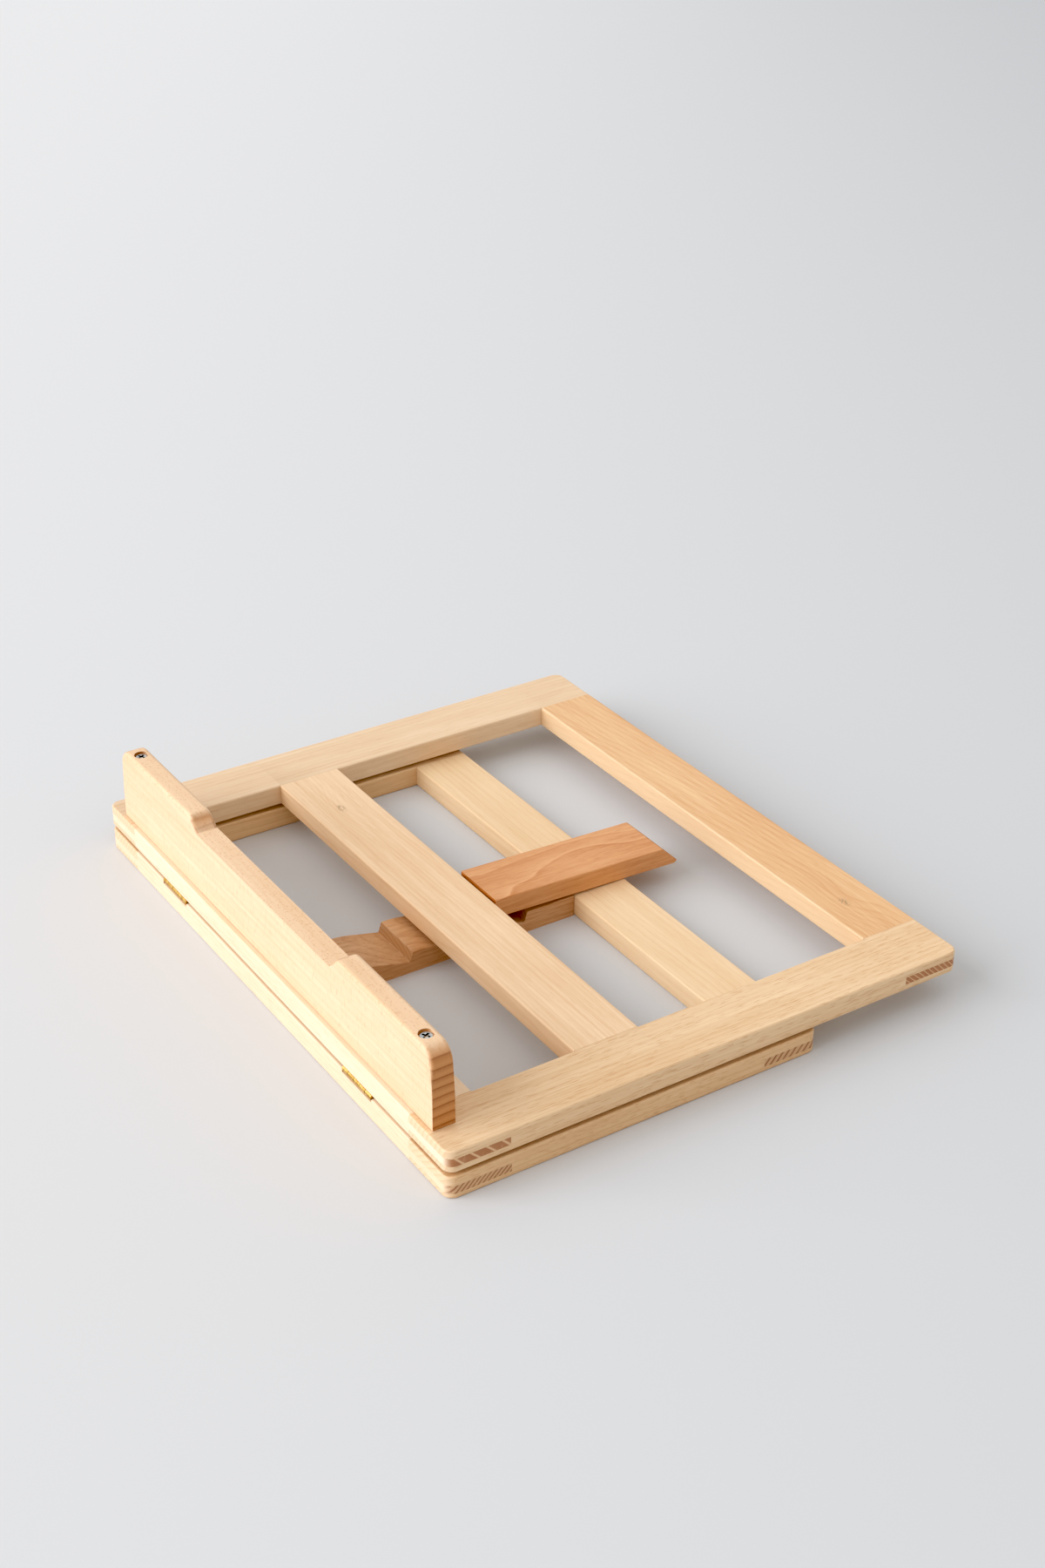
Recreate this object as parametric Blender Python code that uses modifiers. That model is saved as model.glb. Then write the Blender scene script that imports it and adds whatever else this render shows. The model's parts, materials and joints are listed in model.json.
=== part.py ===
"""Folding table-top easel in beech: a base frame, a tilting frame hinged to it, and a prop leg.

The tilting frame carries a ledge along its hinge side. The prop leg is hinged to its middle rail,
and its tip drops into one of the notches of the bar in the base when the frame is raised.
Units are metres, +Z is up, X runs along the hinges and Y from the hinges to the far edge.
"""

import math

import bmesh
import bpy
from mathutils import Matrix, Vector

# ---------------------------------------------------------------- driving sizes
FRAME_WIDTH = 0.400        # both frames, along X
LEAF_LENGTH = 0.330        # tilting frame, along Y
BASE_LENGTH = 0.2315       # base frame, along Y
LEAF_THICKNESS = 0.0132
BASE_THICKNESS = 0.0135
FRAME_GAP = 0.00257        # the hinge plates lie in this gap
CORNER_RADIUS = 0.006      # of both frames, seen from above
EDGE_ROUND = 0.001

LEAF_STILE_WIDTH = 0.037
BOTTOM_RAIL_WIDTH = 0.0365
TOP_RAIL_WIDTH = 0.038
MIDDLE_RAIL_START = 0.0983   # from the hinge side
MIDDLE_RAIL_WIDTH = 0.0406

BASE_STILE_WIDTH = 0.0375
HINGE_RAIL_WIDTH = 0.037
BACK_RAIL_WIDTH = 0.0359
BAR_WIDTH = 0.0366
OFF_CENTRE = 0.0015        # bar and prop leg sit this far towards +X

LEAF_TENON_LOW = 0.0039    # tenon's underside above the frame's underside
LEAF_TENON_THICK = 0.0047
BASE_TENON_LOW = 0.0032
BASE_TENON_THICK = 0.0048
BLIND_TENON = 0.018        # length of the tenons that stay inside the wood
GAP = 0.0003               # between pieces that touch

NOTCH_WALLS = (0.0862, 0.1244, 0.1627)  # Y of each stop wall's top
NOTCH_DEPTH = 0.0063
NOTCH_LEAN = 0.0021        # the wall's foot is nearer the hinge side
NOTCH_RAMP = 0.0260        # length of the slope that leads down to the wall
NOTCH_ROUND = 0.010

LEDGE_INSET = 0.019        # each end stops this far inside the frame's side
LEDGE_LENGTH = FRAME_WIDTH - 2 * LEDGE_INSET
LEDGE_THICKNESS = 0.0132
LEDGE_SETBACK = 0.0031     # from the hinge edge
LEDGE_HEIGHT = 0.0466      # of the raised ends
LEDGE_DIP = 0.0084         # the middle is lower by this much
DIP_LENGTH = 0.1565
DIP_LEAN = 0.0072          # each step leans outwards over this much
DIP_ROUND = 0.0045
LEDGE_END_RADIUS = 0.0105
LEDGE_EDGE_ROUND = 0.0016

LEDGE_SCREW_INSET = 0.0158  # from the ledge's ends
COUNTERBORE_RADIUS = 0.0042
COUNTERBORE_DEPTH = 0.0017
SCREW_HEAD_RADIUS = 0.0034
SCREW_HEAD_DEPTH = 0.0024
SCREW_SHANK_RADIUS = 0.0016
SCREW_BITE = 0.0095        # how deep the ledge screws reach into the frame

HINGE_INSET = 0.091        # hinge centre from each side
HINGE_LENGTH = 0.030
BARREL_RADIUS = 0.0019
AXIS_INSET = 0.0017        # hinge axis from the front faces
BARREL_TOP_GAP = 0.00027   # between the barrel's top and the leaf's underside
PIN_RADIUS = 0.00065
PLATE_THICK = 0.0008
PLATE_LENGTH = 0.012       # from the axis to the plate's edge

PROP_WIDTH = 0.0379
PROP_THICKNESS = 0.0124
PROP_TIP_GAP = 0.0221      # from its tip to the top rail, when it lies straight out
PROP_BEVEL = 0.0116        # length of the slope at the tip
PROP_NOSE = 0.0018
PROP_SEAT = 0.0013         # underside above its hinge axis
PROP_END_GAP = 0.0006      # from the hinge axis to the prop's end
PROP_JOINT_GAP = 0.0005    # from the middle rail's far edge to the hinge axis
PROP_HINGE_LENGTH = 0.026
PROP_BARREL_RADIUS = 0.0016
PROP_AXIS_DROP = 0.00017   # hinge axis below the middle rail's underside

SMALL_HEAD_RADIUS = 0.0017
SMALL_SHANK_RADIUS = 0.0009
SMALL_SCREW_LENGTH = 0.0085

# ---------------------------------------------------------------- derived sizes
HALF_WIDTH = FRAME_WIDTH / 2
BASE_TOP = BASE_THICKNESS
LEAF_LOW = BASE_TOP + FRAME_GAP
LEAF_TOP = LEAF_LOW + LEAF_THICKNESS
AXIS_Z = LEAF_LOW - BARREL_TOP_GAP - BARREL_RADIUS
AXIS_ABOVE_BASE = AXIS_Z - BASE_TOP
BARREL_PROUD = BARREL_RADIUS - AXIS_INSET
# the origin is under the middle of the whole object
FRONT_Y = -(LEAF_LENGTH - BARREL_PROUD) / 2
AXIS_Y = FRONT_Y + AXIS_INSET
MIDDLE_RAIL_END = MIDDLE_RAIL_START + MIDDLE_RAIL_WIDTH
PROP_AXIS_INSET = MIDDLE_RAIL_END + PROP_JOINT_GAP
PROP_AXIS_Y = FRONT_Y + PROP_AXIS_INSET
PROP_REACH = LEAF_LENGTH - TOP_RAIL_WIDTH - PROP_TIP_GAP - PROP_AXIS_INSET
PROP_AXIS_Z = LEAF_LOW - PROP_AXIS_DROP
BACK_RAIL_START = BASE_LENGTH - BACK_RAIL_WIDTH
# at rest the prop leans on the far edge of the base, GAP above it
REST_DROP = PROP_AXIS_Z + PROP_SEAT - BASE_TOP - GAP
REST_RUN = FRONT_Y + BASE_LENGTH - PROP_AXIS_Y
PROP_DROOP = math.atan2(REST_DROP, REST_RUN)

for old in list(bpy.data.objects):
    bpy.data.objects.remove(old, do_unlink=True)

EASEL = bpy.data.collections.new("wooden_artist_easel")
bpy.context.scene.collection.children.link(EASEL)
CUTTERS = bpy.data.collections.new("cutters")
CUTTERS.hide_render = True
bpy.context.scene.collection.children.link(CUTTERS)


# ---------------------------------------------------------------- helpers
def material(name, colour, roughness, metallic=0.0):
    """A Principled material for one kind of piece."""
    made = bpy.data.materials.new(name)
    made.use_nodes = True
    shader = made.node_tree.nodes["Principled BSDF"]
    shader.inputs["Base Color"].default_value = (*colour, 1.0)
    shader.inputs["Roughness"].default_value = roughness
    shader.inputs["Metallic"].default_value = metallic
    return made


def wood(name, colour):
    return material(name + "_beech", colour, 0.5)


def put(obj, collection, look=None):
    for holder in list(obj.users_collection):
        holder.objects.unlink(obj)
    collection.objects.link(obj)
    if look is not None:
        obj.data.materials.clear()
        obj.data.materials.append(look)
    return obj


def as_cutter(obj):
    put(obj, CUTTERS)
    obj.hide_render = True
    obj.display_type = "WIRE"
    return obj


def box(name, low, high):
    """A box between two opposite corners."""
    low = Vector(low)
    high = Vector(high)
    bpy.ops.mesh.primitive_cube_add(size=1, location=(low + high) / 2)
    obj = bpy.context.object
    obj.name = name
    obj.data.transform(Matrix.Diagonal((*(high - low), 1.0)))
    return obj


def rod(name, radius, start, end, sides=24):
    """A cylinder from one point to another."""
    start = Vector(start)
    end = Vector(end)
    middle = (start + end) / 2
    bpy.ops.mesh.primitive_cylinder_add(
        vertices=sides, radius=radius, depth=(end - start).length, location=middle
    )
    obj = bpy.context.object
    obj.name = name
    obj.rotation_euler = (end - start).to_track_quat("Z", "Y").to_euler()
    return obj


def filleted(corners, steps=5):
    """Outline points of a polygon whose corners are (x, y, radius)."""
    points = []
    count = len(corners)
    for i, (x, y, radius) in enumerate(corners):
        here = Vector((x, y))
        if radius == 0:
            points.append(here)
            continue
        before = (Vector(corners[i - 1][:2]) - here).normalized()
        after = (Vector(corners[(i + 1) % count][:2]) - here).normalized()
        half = before.angle(after) / 2
        centre = here + (before + after).normalized() * radius / math.sin(half)
        first = here + before * radius / math.tan(half) - centre
        last = here + after * radius / math.tan(half) - centre
        turn = first.angle_signed(last)
        for k in range(steps + 1):
            arm = first.copy()
            arm.rotate(Matrix.Rotation(-turn * k / steps, 2))
            points.append(centre + arm)
    return points


SIDE_TURN = (math.pi / 2, 0.0, math.pi / 2)  # outline in Y and Z, depth along X
FACE_TURN = (math.pi / 2, 0.0, 0.0)          # outline in X and Z, depth along Y


def board(name, points, depth, location, turn=(0.0, 0.0, 0.0)):
    """A flat outline with a thickness, made into a closed mesh."""
    curve = bpy.data.curves.new(name + "_outline", "CURVE")
    curve.dimensions = "2D"
    curve.fill_mode = "BOTH"
    curve.extrude = depth / 2
    spline = curve.splines.new("POLY")
    spline.points.add(len(points) - 1)
    for target, point in zip(spline.points, points):
        target.co = (point[0], point[1], 0.0, 1.0)
    spline.use_cyclic_u = True
    guide = bpy.data.objects.new(name + "_outline", curve)
    EASEL.objects.link(guide)
    guide.location = location
    guide.rotation_euler = turn
    bpy.context.view_layer.update()
    graph = bpy.context.evaluated_depsgraph_get()
    mesh = bpy.data.meshes.new_from_object(guide.evaluated_get(graph))
    welded = bmesh.new()
    welded.from_mesh(mesh)
    bmesh.ops.remove_doubles(welded, verts=welded.verts, dist=1e-6)
    # each cap becomes one face instead of the triangles that the fill made
    for side in (-1, 1):
        cap = [f for f in welded.faces if all(v.co.z * side > 0 for v in f.verts)]
        bmesh.ops.dissolve_faces(welded, faces=cap)
    bmesh.ops.recalc_face_normals(welded, faces=welded.faces)
    welded.to_mesh(mesh)
    welded.free()
    mesh.name = name
    obj = bpy.data.objects.new(name, mesh)
    obj.matrix_world = guide.matrix_world
    EASEL.objects.link(obj)
    bpy.data.objects.remove(guide, do_unlink=True)
    return obj


def boolean(obj, other, operation="DIFFERENCE"):
    step = obj.modifiers.new(operation.lower() + "_" + other.name, "BOOLEAN")
    step.operation = operation
    step.object = other
    step.solver = "EXACT"
    return step


def cut(obj, cutter):
    boolean(obj, as_cutter(cutter))


def bevel(obj, width, segments=2, above=70):
    step = obj.modifiers.new("edges", "BEVEL")
    step.width = width
    step.segments = segments
    step.limit_method = "ANGLE"
    step.angle_limit = math.radians(above)


def smooth(obj):
    obj.data.shade_smooth()
    obj.data.set_sharp_from_angle(angle=math.radians(35))


# ---------------------------------------------------------------- frames
def frame_blank(name, length, low, thickness):
    """The whole frame as one rounded slab, which trims the outside of its members."""
    corners = (
        (-HALF_WIDTH, 0.0, CORNER_RADIUS),
        (HALF_WIDTH, 0.0, CORNER_RADIUS),
        (HALF_WIDTH, length, CORNER_RADIUS),
        (-HALF_WIDTH, length, CORNER_RADIUS),
    )
    middle = (0.0, FRONT_Y, low + thickness / 2)
    blank = board(name, filleted(corners), thickness, middle)
    bevel(blank, EDGE_ROUND)
    return as_cutter(blank)


OVER = 0.002  # raw members pass the blank by this much


def stile(name, side, frame, first_rail, last_rail, look):
    """A side member with an open slot at each end for the rails' tenons."""
    end = frame["length"]
    low = frame["low"] - OVER
    high = frame["low"] + frame["thickness"] + OVER
    slot_low = frame["tenon_low"] - GAP
    slot_high = frame["tenon_high"] + GAP
    first = first_rail + GAP
    last = end - last_rail - GAP
    points = [
        (-OVER, low), (end + OVER, low),
        (end + OVER, slot_low), (last, slot_low), (last, slot_high), (end + OVER, slot_high),
        (end + OVER, high), (-OVER, high),
        (-OVER, slot_high), (first, slot_high), (first, slot_low), (-OVER, slot_low),
    ]
    width = frame["stile"] + OVER
    middle = side * (HALF_WIDTH + OVER - width / 2)
    made = board(name, points, width, (middle, FRONT_Y, 0.0), SIDE_TURN)
    boolean(made, frame["blank"], "INTERSECT")
    return put(made, EASEL, wood(name, look))


def through_rail(name, start, width, frame, look):
    """A cross member whose tenons run right through the stiles."""
    inner = HALF_WIDTH - frame["stile"] - GAP
    outer = HALF_WIDTH + OVER
    low = frame["low"] - OVER
    high = frame["low"] + frame["thickness"] + OVER
    points = tongued_outline(inner, outer, low, high, frame)
    at_front = start == 0.0
    first = start - (OVER if at_front else 0.0)
    last = start + width + (0.0 if at_front else OVER)
    middle = (0.0, FRONT_Y + (first + last) / 2, 0.0)
    made = board(name, points, last - first, middle, FACE_TURN)
    boolean(made, frame["blank"], "INTERSECT")
    return put(made, EASEL, wood(name, look))


def tongued_outline(inner, outer, low, high, frame):
    """End view of a member with a thinner tenon at each end."""
    under = frame["tenon_low"]
    over = frame["tenon_high"]
    return [
        (-inner, low), (inner, low), (inner, under), (outer, under),
        (outer, over), (inner, over), (inner, high),
        (-inner, high), (-inner, over), (-outer, over),
        (-outer, under), (-inner, under),
    ]


BASE = {
    "length": BASE_LENGTH,
    "low": 0.0,
    "thickness": BASE_THICKNESS,
    "stile": BASE_STILE_WIDTH,
    "tenon_low": BASE_TENON_LOW,
    "tenon_high": BASE_TENON_LOW + BASE_TENON_THICK,
}
LEAF = {
    "length": LEAF_LENGTH,
    "low": LEAF_LOW,
    "thickness": LEAF_THICKNESS,
    "stile": LEAF_STILE_WIDTH,
    "tenon_low": LEAF_LOW + LEAF_TENON_LOW,
    "tenon_high": LEAF_LOW + LEAF_TENON_LOW + LEAF_TENON_THICK,
}
BASE["blank"] = frame_blank("base_blank", BASE_LENGTH, 0.0, BASE_THICKNESS)
LEAF["blank"] = frame_blank("leaf_blank", LEAF_LENGTH, LEAF_LOW, LEAF_THICKNESS)

PALE = (0.78, 0.60, 0.39)
STRAW = (0.72, 0.52, 0.32)
TAN = (0.66, 0.43, 0.24)
BROWN = (0.55, 0.34, 0.19)
RUSSET = (0.52, 0.28, 0.13)

base_left = stile("base_left_stile", -1, BASE, HINGE_RAIL_WIDTH, BACK_RAIL_WIDTH, STRAW)
base_right = stile("base_right_stile", 1, BASE, HINGE_RAIL_WIDTH, BACK_RAIL_WIDTH, STRAW)
hinge_rail = through_rail("base_hinge_rail", 0.0, HINGE_RAIL_WIDTH, BASE, PALE)
back_rail = through_rail("base_back_rail", BACK_RAIL_START, BACK_RAIL_WIDTH, BASE, PALE)

leaf_left = stile("leaf_left_stile", -1, LEAF, BOTTOM_RAIL_WIDTH, TOP_RAIL_WIDTH, PALE)
leaf_right = stile("leaf_right_stile", 1, LEAF, BOTTOM_RAIL_WIDTH, TOP_RAIL_WIDTH, PALE)
bottom_rail = through_rail("leaf_bottom_rail", 0.0, BOTTOM_RAIL_WIDTH, LEAF, PALE)
top_rail_start = LEAF_LENGTH - TOP_RAIL_WIDTH
top_rail = through_rail("leaf_top_rail", top_rail_start, TOP_RAIL_WIDTH, LEAF, TAN)

# ---------------------------------------------------------------- middle rail
middle_inner = HALF_WIDTH - LEAF_STILE_WIDTH - GAP
middle_outline = tongued_outline(
    middle_inner, middle_inner + BLIND_TENON, LEAF_LOW, LEAF_TOP, LEAF
)
middle_rail = board(
    "leaf_middle_rail",
    middle_outline,
    MIDDLE_RAIL_WIDTH,
    (0.0, FRONT_Y + MIDDLE_RAIL_START + MIDDLE_RAIL_WIDTH / 2, 0.0),
    FACE_TURN,
)
put(middle_rail, EASEL, wood("leaf_middle_rail", PALE))
for side, target in ((-1, leaf_left), (1, leaf_right)):
    reach = middle_inner + BLIND_TENON + GAP
    ends = sorted((side * (middle_inner - 0.002), side * reach))
    mortise = box(
        f"middle_mortise_{target.name}",
        (ends[0], FRONT_Y + MIDDLE_RAIL_START - GAP, LEAF["tenon_low"] - GAP),
        (ends[1], FRONT_Y + MIDDLE_RAIL_END + GAP, LEAF["tenon_high"] + GAP),
    )
    cut(target, mortise)

# ---------------------------------------------------------------- notched bar
bar_start = HINGE_RAIL_WIDTH + GAP
bar_end = BACK_RAIL_START - GAP
bar_low = BASE["tenon_low"]
bar_high = BASE["tenon_high"]
notch_corners = [
    (bar_start, 0.0, 0), (bar_end, 0.0, 0),
    (bar_end, bar_low, 0), (bar_end + BLIND_TENON, bar_low, 0),
    (bar_end + BLIND_TENON, bar_high, 0), (bar_end, bar_high, 0),
    (bar_end, BASE_TOP, 0),
]
for wall in reversed(NOTCH_WALLS):
    floor = BASE_TOP - NOTCH_DEPTH
    notch_corners.append((wall, BASE_TOP, 0.0006))
    notch_corners.append((wall - NOTCH_LEAN, floor, 0.0008))
    notch_corners.append((wall - NOTCH_LEAN - NOTCH_RAMP, BASE_TOP, NOTCH_ROUND))
notch_corners += [
    (bar_start, BASE_TOP, 0),
    (bar_start, bar_high, 0), (bar_start - BLIND_TENON, bar_high, 0),
    (bar_start - BLIND_TENON, bar_low, 0), (bar_start, bar_low, 0),
]
notched_bar = board(
    "notched_bar", filleted(notch_corners, 4), BAR_WIDTH, (OFF_CENTRE, FRONT_Y, 0.0), SIDE_TURN
)
put(notched_bar, EASEL, wood("notched_bar", BROWN))
bar_low_x = OFF_CENTRE - BAR_WIDTH / 2 - GAP
bar_high_x = OFF_CENTRE + BAR_WIDTH / 2 + GAP
for target, first, last in (
    (hinge_rail, bar_start - BLIND_TENON - GAP, bar_start + 0.002),
    (back_rail, bar_end - 0.002, bar_end + BLIND_TENON + GAP),
):
    mortise = box(
        f"bar_mortise_{target.name}",
        (bar_low_x, FRONT_Y + first, bar_low - GAP),
        (bar_high_x, FRONT_Y + last, bar_high + GAP),
    )
    cut(target, mortise)

# ---------------------------------------------------------------- ledge
half_ledge = LEDGE_LENGTH / 2
half_dip = DIP_LENGTH / 2
dip_floor = LEDGE_HEIGHT - LEDGE_DIP
ledge_foot = LEAF_TOP + GAP
ledge_corners = [
    (-half_ledge, 0.0, 0), (half_ledge, 0.0, 0),
    (half_ledge, LEDGE_HEIGHT, LEDGE_END_RADIUS),
    (half_dip + DIP_LEAN, LEDGE_HEIGHT, DIP_ROUND),
    (half_dip, dip_floor, 0),
    (-half_dip, dip_floor, 0),
    (-half_dip - DIP_LEAN, LEDGE_HEIGHT, DIP_ROUND),
    (-half_ledge, LEDGE_HEIGHT, LEDGE_END_RADIUS),
]
ledge_y = FRONT_Y + LEDGE_SETBACK + LEDGE_THICKNESS / 2
ledge = board(
    "ledge", filleted(ledge_corners, 6), LEDGE_THICKNESS, (0.0, ledge_y, ledge_foot), FACE_TURN
)
bevel(ledge, LEDGE_EDGE_ROUND)
put(ledge, EASEL, wood("ledge", STRAW))


# ---------------------------------------------------------------- screws
def screw(name, place, direction, head_radius, head_depth, shank_radius, length, look):
    """A turned countersunk screw; `place` is the middle of its head's flat top."""
    profile = [
        (0.0, 0.0), (head_radius, 0.0), (shank_radius, -head_depth),
        (shank_radius, -length + shank_radius), (0.0, -length),
    ]
    mesh = bpy.data.meshes.new(name)
    turned = bmesh.new()
    verts = [turned.verts.new((r, 0.0, z)) for r, z in profile]
    for first, second in zip(verts, verts[1:]):
        turned.edges.new((first, second))
    turned.to_mesh(mesh)
    turned.free()
    obj = bpy.data.objects.new(name, mesh)
    step = obj.modifiers.new("turned", "SCREW")
    step.steps = 16
    step.render_steps = 16
    step.use_merge_vertices = True
    step.merge_threshold = 1e-6
    step.use_smooth_shade = False
    obj.location = place
    obj.rotation_euler = Vector(direction).to_track_quat("Z", "Y").to_euler()
    return put(obj, EASEL, look)


ZINC = material("zinc_plated_screws", (0.66, 0.68, 0.70), 0.35, 1.0)
BRASS = material("brass_hinges", (0.78, 0.58, 0.27), 0.34, 1.0)

ledge_top = ledge_foot + LEDGE_HEIGHT
head_z = ledge_top - COUNTERBORE_DEPTH
screw_x = half_ledge - LEDGE_SCREW_INSET
screw_foot = LEAF_TOP - SCREW_BITE
ledge_screws = []
for side, word in ((-1, "left"), (1, "right")):
    x = side * screw_x
    made = screw(
        f"ledge_screw_{word}",
        (x, ledge_y, head_z),
        (0, 0, 1),
        SCREW_HEAD_RADIUS,
        SCREW_HEAD_DEPTH,
        SCREW_SHANK_RADIUS,
        head_z - screw_foot,
        ZINC,
    )
    ledge_screws.append(made)
    seat = head_z - SCREW_HEAD_DEPTH - 2 * GAP
    top = ledge_top + 0.005
    cut(ledge, rod(f"counterbore_{word}", COUNTERBORE_RADIUS, (x, ledge_y, seat), (x, ledge_y, top)))
    clear = SCREW_SHANK_RADIUS + GAP
    stile_obj = leaf_left if side < 0 else leaf_right
    for target in (ledge, stile_obj, bottom_rail):
        start = (x, ledge_y, screw_foot - GAP)
        end = (x, ledge_y, top)
        cut(target, rod(f"shank_hole_{word}_{target.name}", clear, start, end, 16))


# ---------------------------------------------------------------- hinges
def hinge_outline(radius, low, high, reach):
    """Side view of a hinge plate running on from its barrel; the barrel's centre is (0, 0)."""
    start = math.pi / 2 if high >= radius else math.asin(high / radius)
    end = 2 * math.pi + math.asin(low / radius)
    steps = 26
    points = [(reach, low), (reach, high)]
    for k in range(steps + 1):
        angle = start + (end - start) * k / steps
        points.append((radius * math.cos(angle), radius * math.sin(angle)))
    return points


def hinge_plate(name, centre_x, length, radius, low, high, reach, place, taken, knuckles, flip=1):
    """A plate with its knuckles. `taken` lists the knuckle places that the other plate fills."""
    points = [(flip * y, z) for y, z in hinge_outline(radius, low, high, reach)]
    made = board(name, points, length, (centre_x, *place), SIDE_TURN)
    share = length / knuckles
    y, z = place
    clear = radius + GAP
    for k in taken:
        # neighbouring knuckles share the gap, and an outer knuckle's cut runs past the end
        first = centre_x - length / 2 + k * share - GAP / 2
        last = first + share + GAP
        if k == 0:
            first -= 0.002
        if k == knuckles - 1:
            last += 0.002
        knuckle_cut = box(
            f"{name}_space_{k}", (first, y - clear, z - clear), (last, y + clear, z + clear)
        )
        cut(made, knuckle_cut)
    hole_start = (centre_x - length / 2 - 0.002, y, z)
    hole_end = (centre_x + length / 2 + 0.002, y, z)
    cut(made, rod(f"{name}_bore", PIN_RADIUS + GAP, hole_start, hole_end, 16))
    smooth(made)
    return put(made, EASEL, BRASS)


def fasten(plate, names, places, face_z, direction, wood_piece):
    """Countersunk screws through a plate into the wood behind it."""
    into = -1 if direction > 0 else 1
    for name, (x, y) in zip(names, places):
        head = (x, y, face_z)
        screw(
            name, head, (0, 0, direction), SMALL_HEAD_RADIUS, PLATE_THICK,
            SMALL_SHANK_RADIUS, SMALL_SCREW_LENGTH, ZINC,
        )
        hole = SMALL_SHANK_RADIUS + GAP
        deep = (x, y, face_z + into * (SMALL_SCREW_LENGTH + GAP))
        out = (x, y, face_z - into * 0.001)
        cut(wood_piece, rod(f"{name}_pilot", hole, out, deep, 12))
        middle = face_z + into * PLATE_THICK / 2
        bpy.ops.mesh.primitive_cone_add(
            vertices=16,
            radius1=hole - 0.5 * (SMALL_HEAD_RADIUS - SMALL_SHANK_RADIUS),
            radius2=SMALL_HEAD_RADIUS + GAP + 0.5 * (SMALL_HEAD_RADIUS - SMALL_SHANK_RADIUS),
            depth=2 * PLATE_THICK,
            location=(x, y, middle),
            rotation=(0.0 if direction > 0 else math.pi, 0.0, 0.0),
        )
        sink = bpy.context.object
        sink.name = f"{name}_sink"
        cut(plate, sink)


plate_clear = 0.0002
base_plate_low = plate_clear - AXIS_ABOVE_BASE
leaf_plate_high = min(FRAME_GAP - plate_clear - AXIS_ABOVE_BASE, BARREL_RADIUS)
barrel_space = BARREL_RADIUS + GAP
for side, word in ((-1, "left"), (1, "right")):
    x = side * (HALF_WIDTH - HINGE_INSET)
    place = (AXIS_Y, AXIS_Z)
    base_plate = hinge_plate(
        f"{word}_hinge_base_plate", x, HINGE_LENGTH, BARREL_RADIUS,
        base_plate_low, base_plate_low + PLATE_THICK, PLATE_LENGTH, place, (1, 3), 5,
    )
    leaf_plate = hinge_plate(
        f"{word}_hinge_leaf_plate", x, HINGE_LENGTH, BARREL_RADIUS,
        leaf_plate_high - PLATE_THICK, leaf_plate_high, PLATE_LENGTH, place, (0, 2, 4), 5,
    )
    pin_start = (x - HINGE_LENGTH / 2, AXIS_Y, AXIS_Z)
    pin_end = (x + HINGE_LENGTH / 2, AXIS_Y, AXIS_Z)
    pin = rod(f"{word}_hinge_pin", PIN_RADIUS, pin_start, pin_end, 12)
    smooth(pin)
    put(pin, EASEL, BRASS)
    space_start = (x - HINGE_LENGTH / 2 - GAP, AXIS_Y, AXIS_Z)
    space_end = (x + HINGE_LENGTH / 2 + GAP, AXIS_Y, AXIS_Z)
    cut(hinge_rail, rod(f"{word}_barrel_space", barrel_space, space_start, space_end))
    screw_y = AXIS_Y + 0.0078
    spots = [(x - 0.009, screw_y), (x + 0.009, screw_y)]
    fasten(
        base_plate, [f"{word}_hinge_base_screw_{n}" for n in (1, 2)], spots,
        AXIS_Z + base_plate_low + PLATE_THICK, 1, hinge_rail,
    )
    spots = [(x - 0.0035, screw_y), (x + 0.0035, screw_y)]
    fasten(
        leaf_plate, [f"{word}_hinge_leaf_screw_{n}" for n in (1, 2)], spots,
        AXIS_Z + leaf_plate_high - PLATE_THICK, -1, bottom_rail,
    )

# ---------------------------------------------------------------- prop leg
prop_axis = bpy.data.objects.new("prop_axis", None)
EASEL.objects.link(prop_axis)
prop_axis.location = (OFF_CENTRE, PROP_AXIS_Y, PROP_AXIS_Z)
bpy.context.view_layer.update()

prop_top = PROP_SEAT + PROP_THICKNESS
prop_corners = [
    (PROP_END_GAP, PROP_SEAT, 0),
    (PROP_REACH - 0.0020, PROP_SEAT, 0.0012),
    (PROP_REACH, PROP_SEAT + PROP_NOSE, 0.0008),
    (PROP_REACH - PROP_BEVEL, prop_top, 0.0016),
    (PROP_END_GAP, prop_top, 0),
]
prop_place = (OFF_CENTRE, PROP_AXIS_Y, PROP_AXIS_Z)
prop_leg = board("prop_leg", filleted(prop_corners, 3), PROP_WIDTH, prop_place, SIDE_TURN)
bevel(prop_leg, EDGE_ROUND)
put(prop_leg, EASEL, wood("prop_leg", RUSSET))

prop_plate_low = PROP_SEAT - plate_clear - PLATE_THICK
rail_plate_low = PROP_AXIS_DROP + plate_clear
prop_x = OFF_CENTRE
rail_hinge_plate = hinge_plate(
    "prop_hinge_rail_plate", prop_x, PROP_HINGE_LENGTH, PROP_BARREL_RADIUS,
    rail_plate_low, rail_plate_low + PLATE_THICK, PLATE_LENGTH,
    (PROP_AXIS_Y, PROP_AXIS_Z), (1,), 3, -1,
)
prop_hinge_plate = hinge_plate(
    "prop_hinge_leg_plate", prop_x, PROP_HINGE_LENGTH, PROP_BARREL_RADIUS,
    prop_plate_low, prop_plate_low + PLATE_THICK, PLATE_LENGTH,
    (PROP_AXIS_Y, PROP_AXIS_Z), (0, 2), 3, 1,
)
pin_start = (prop_x - PROP_HINGE_LENGTH / 2, PROP_AXIS_Y, PROP_AXIS_Z)
pin_end = (prop_x + PROP_HINGE_LENGTH / 2, PROP_AXIS_Y, PROP_AXIS_Z)
prop_pin = rod("prop_hinge_pin", PIN_RADIUS, pin_start, pin_end, 12)
smooth(prop_pin)
put(prop_pin, EASEL, BRASS)

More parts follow.
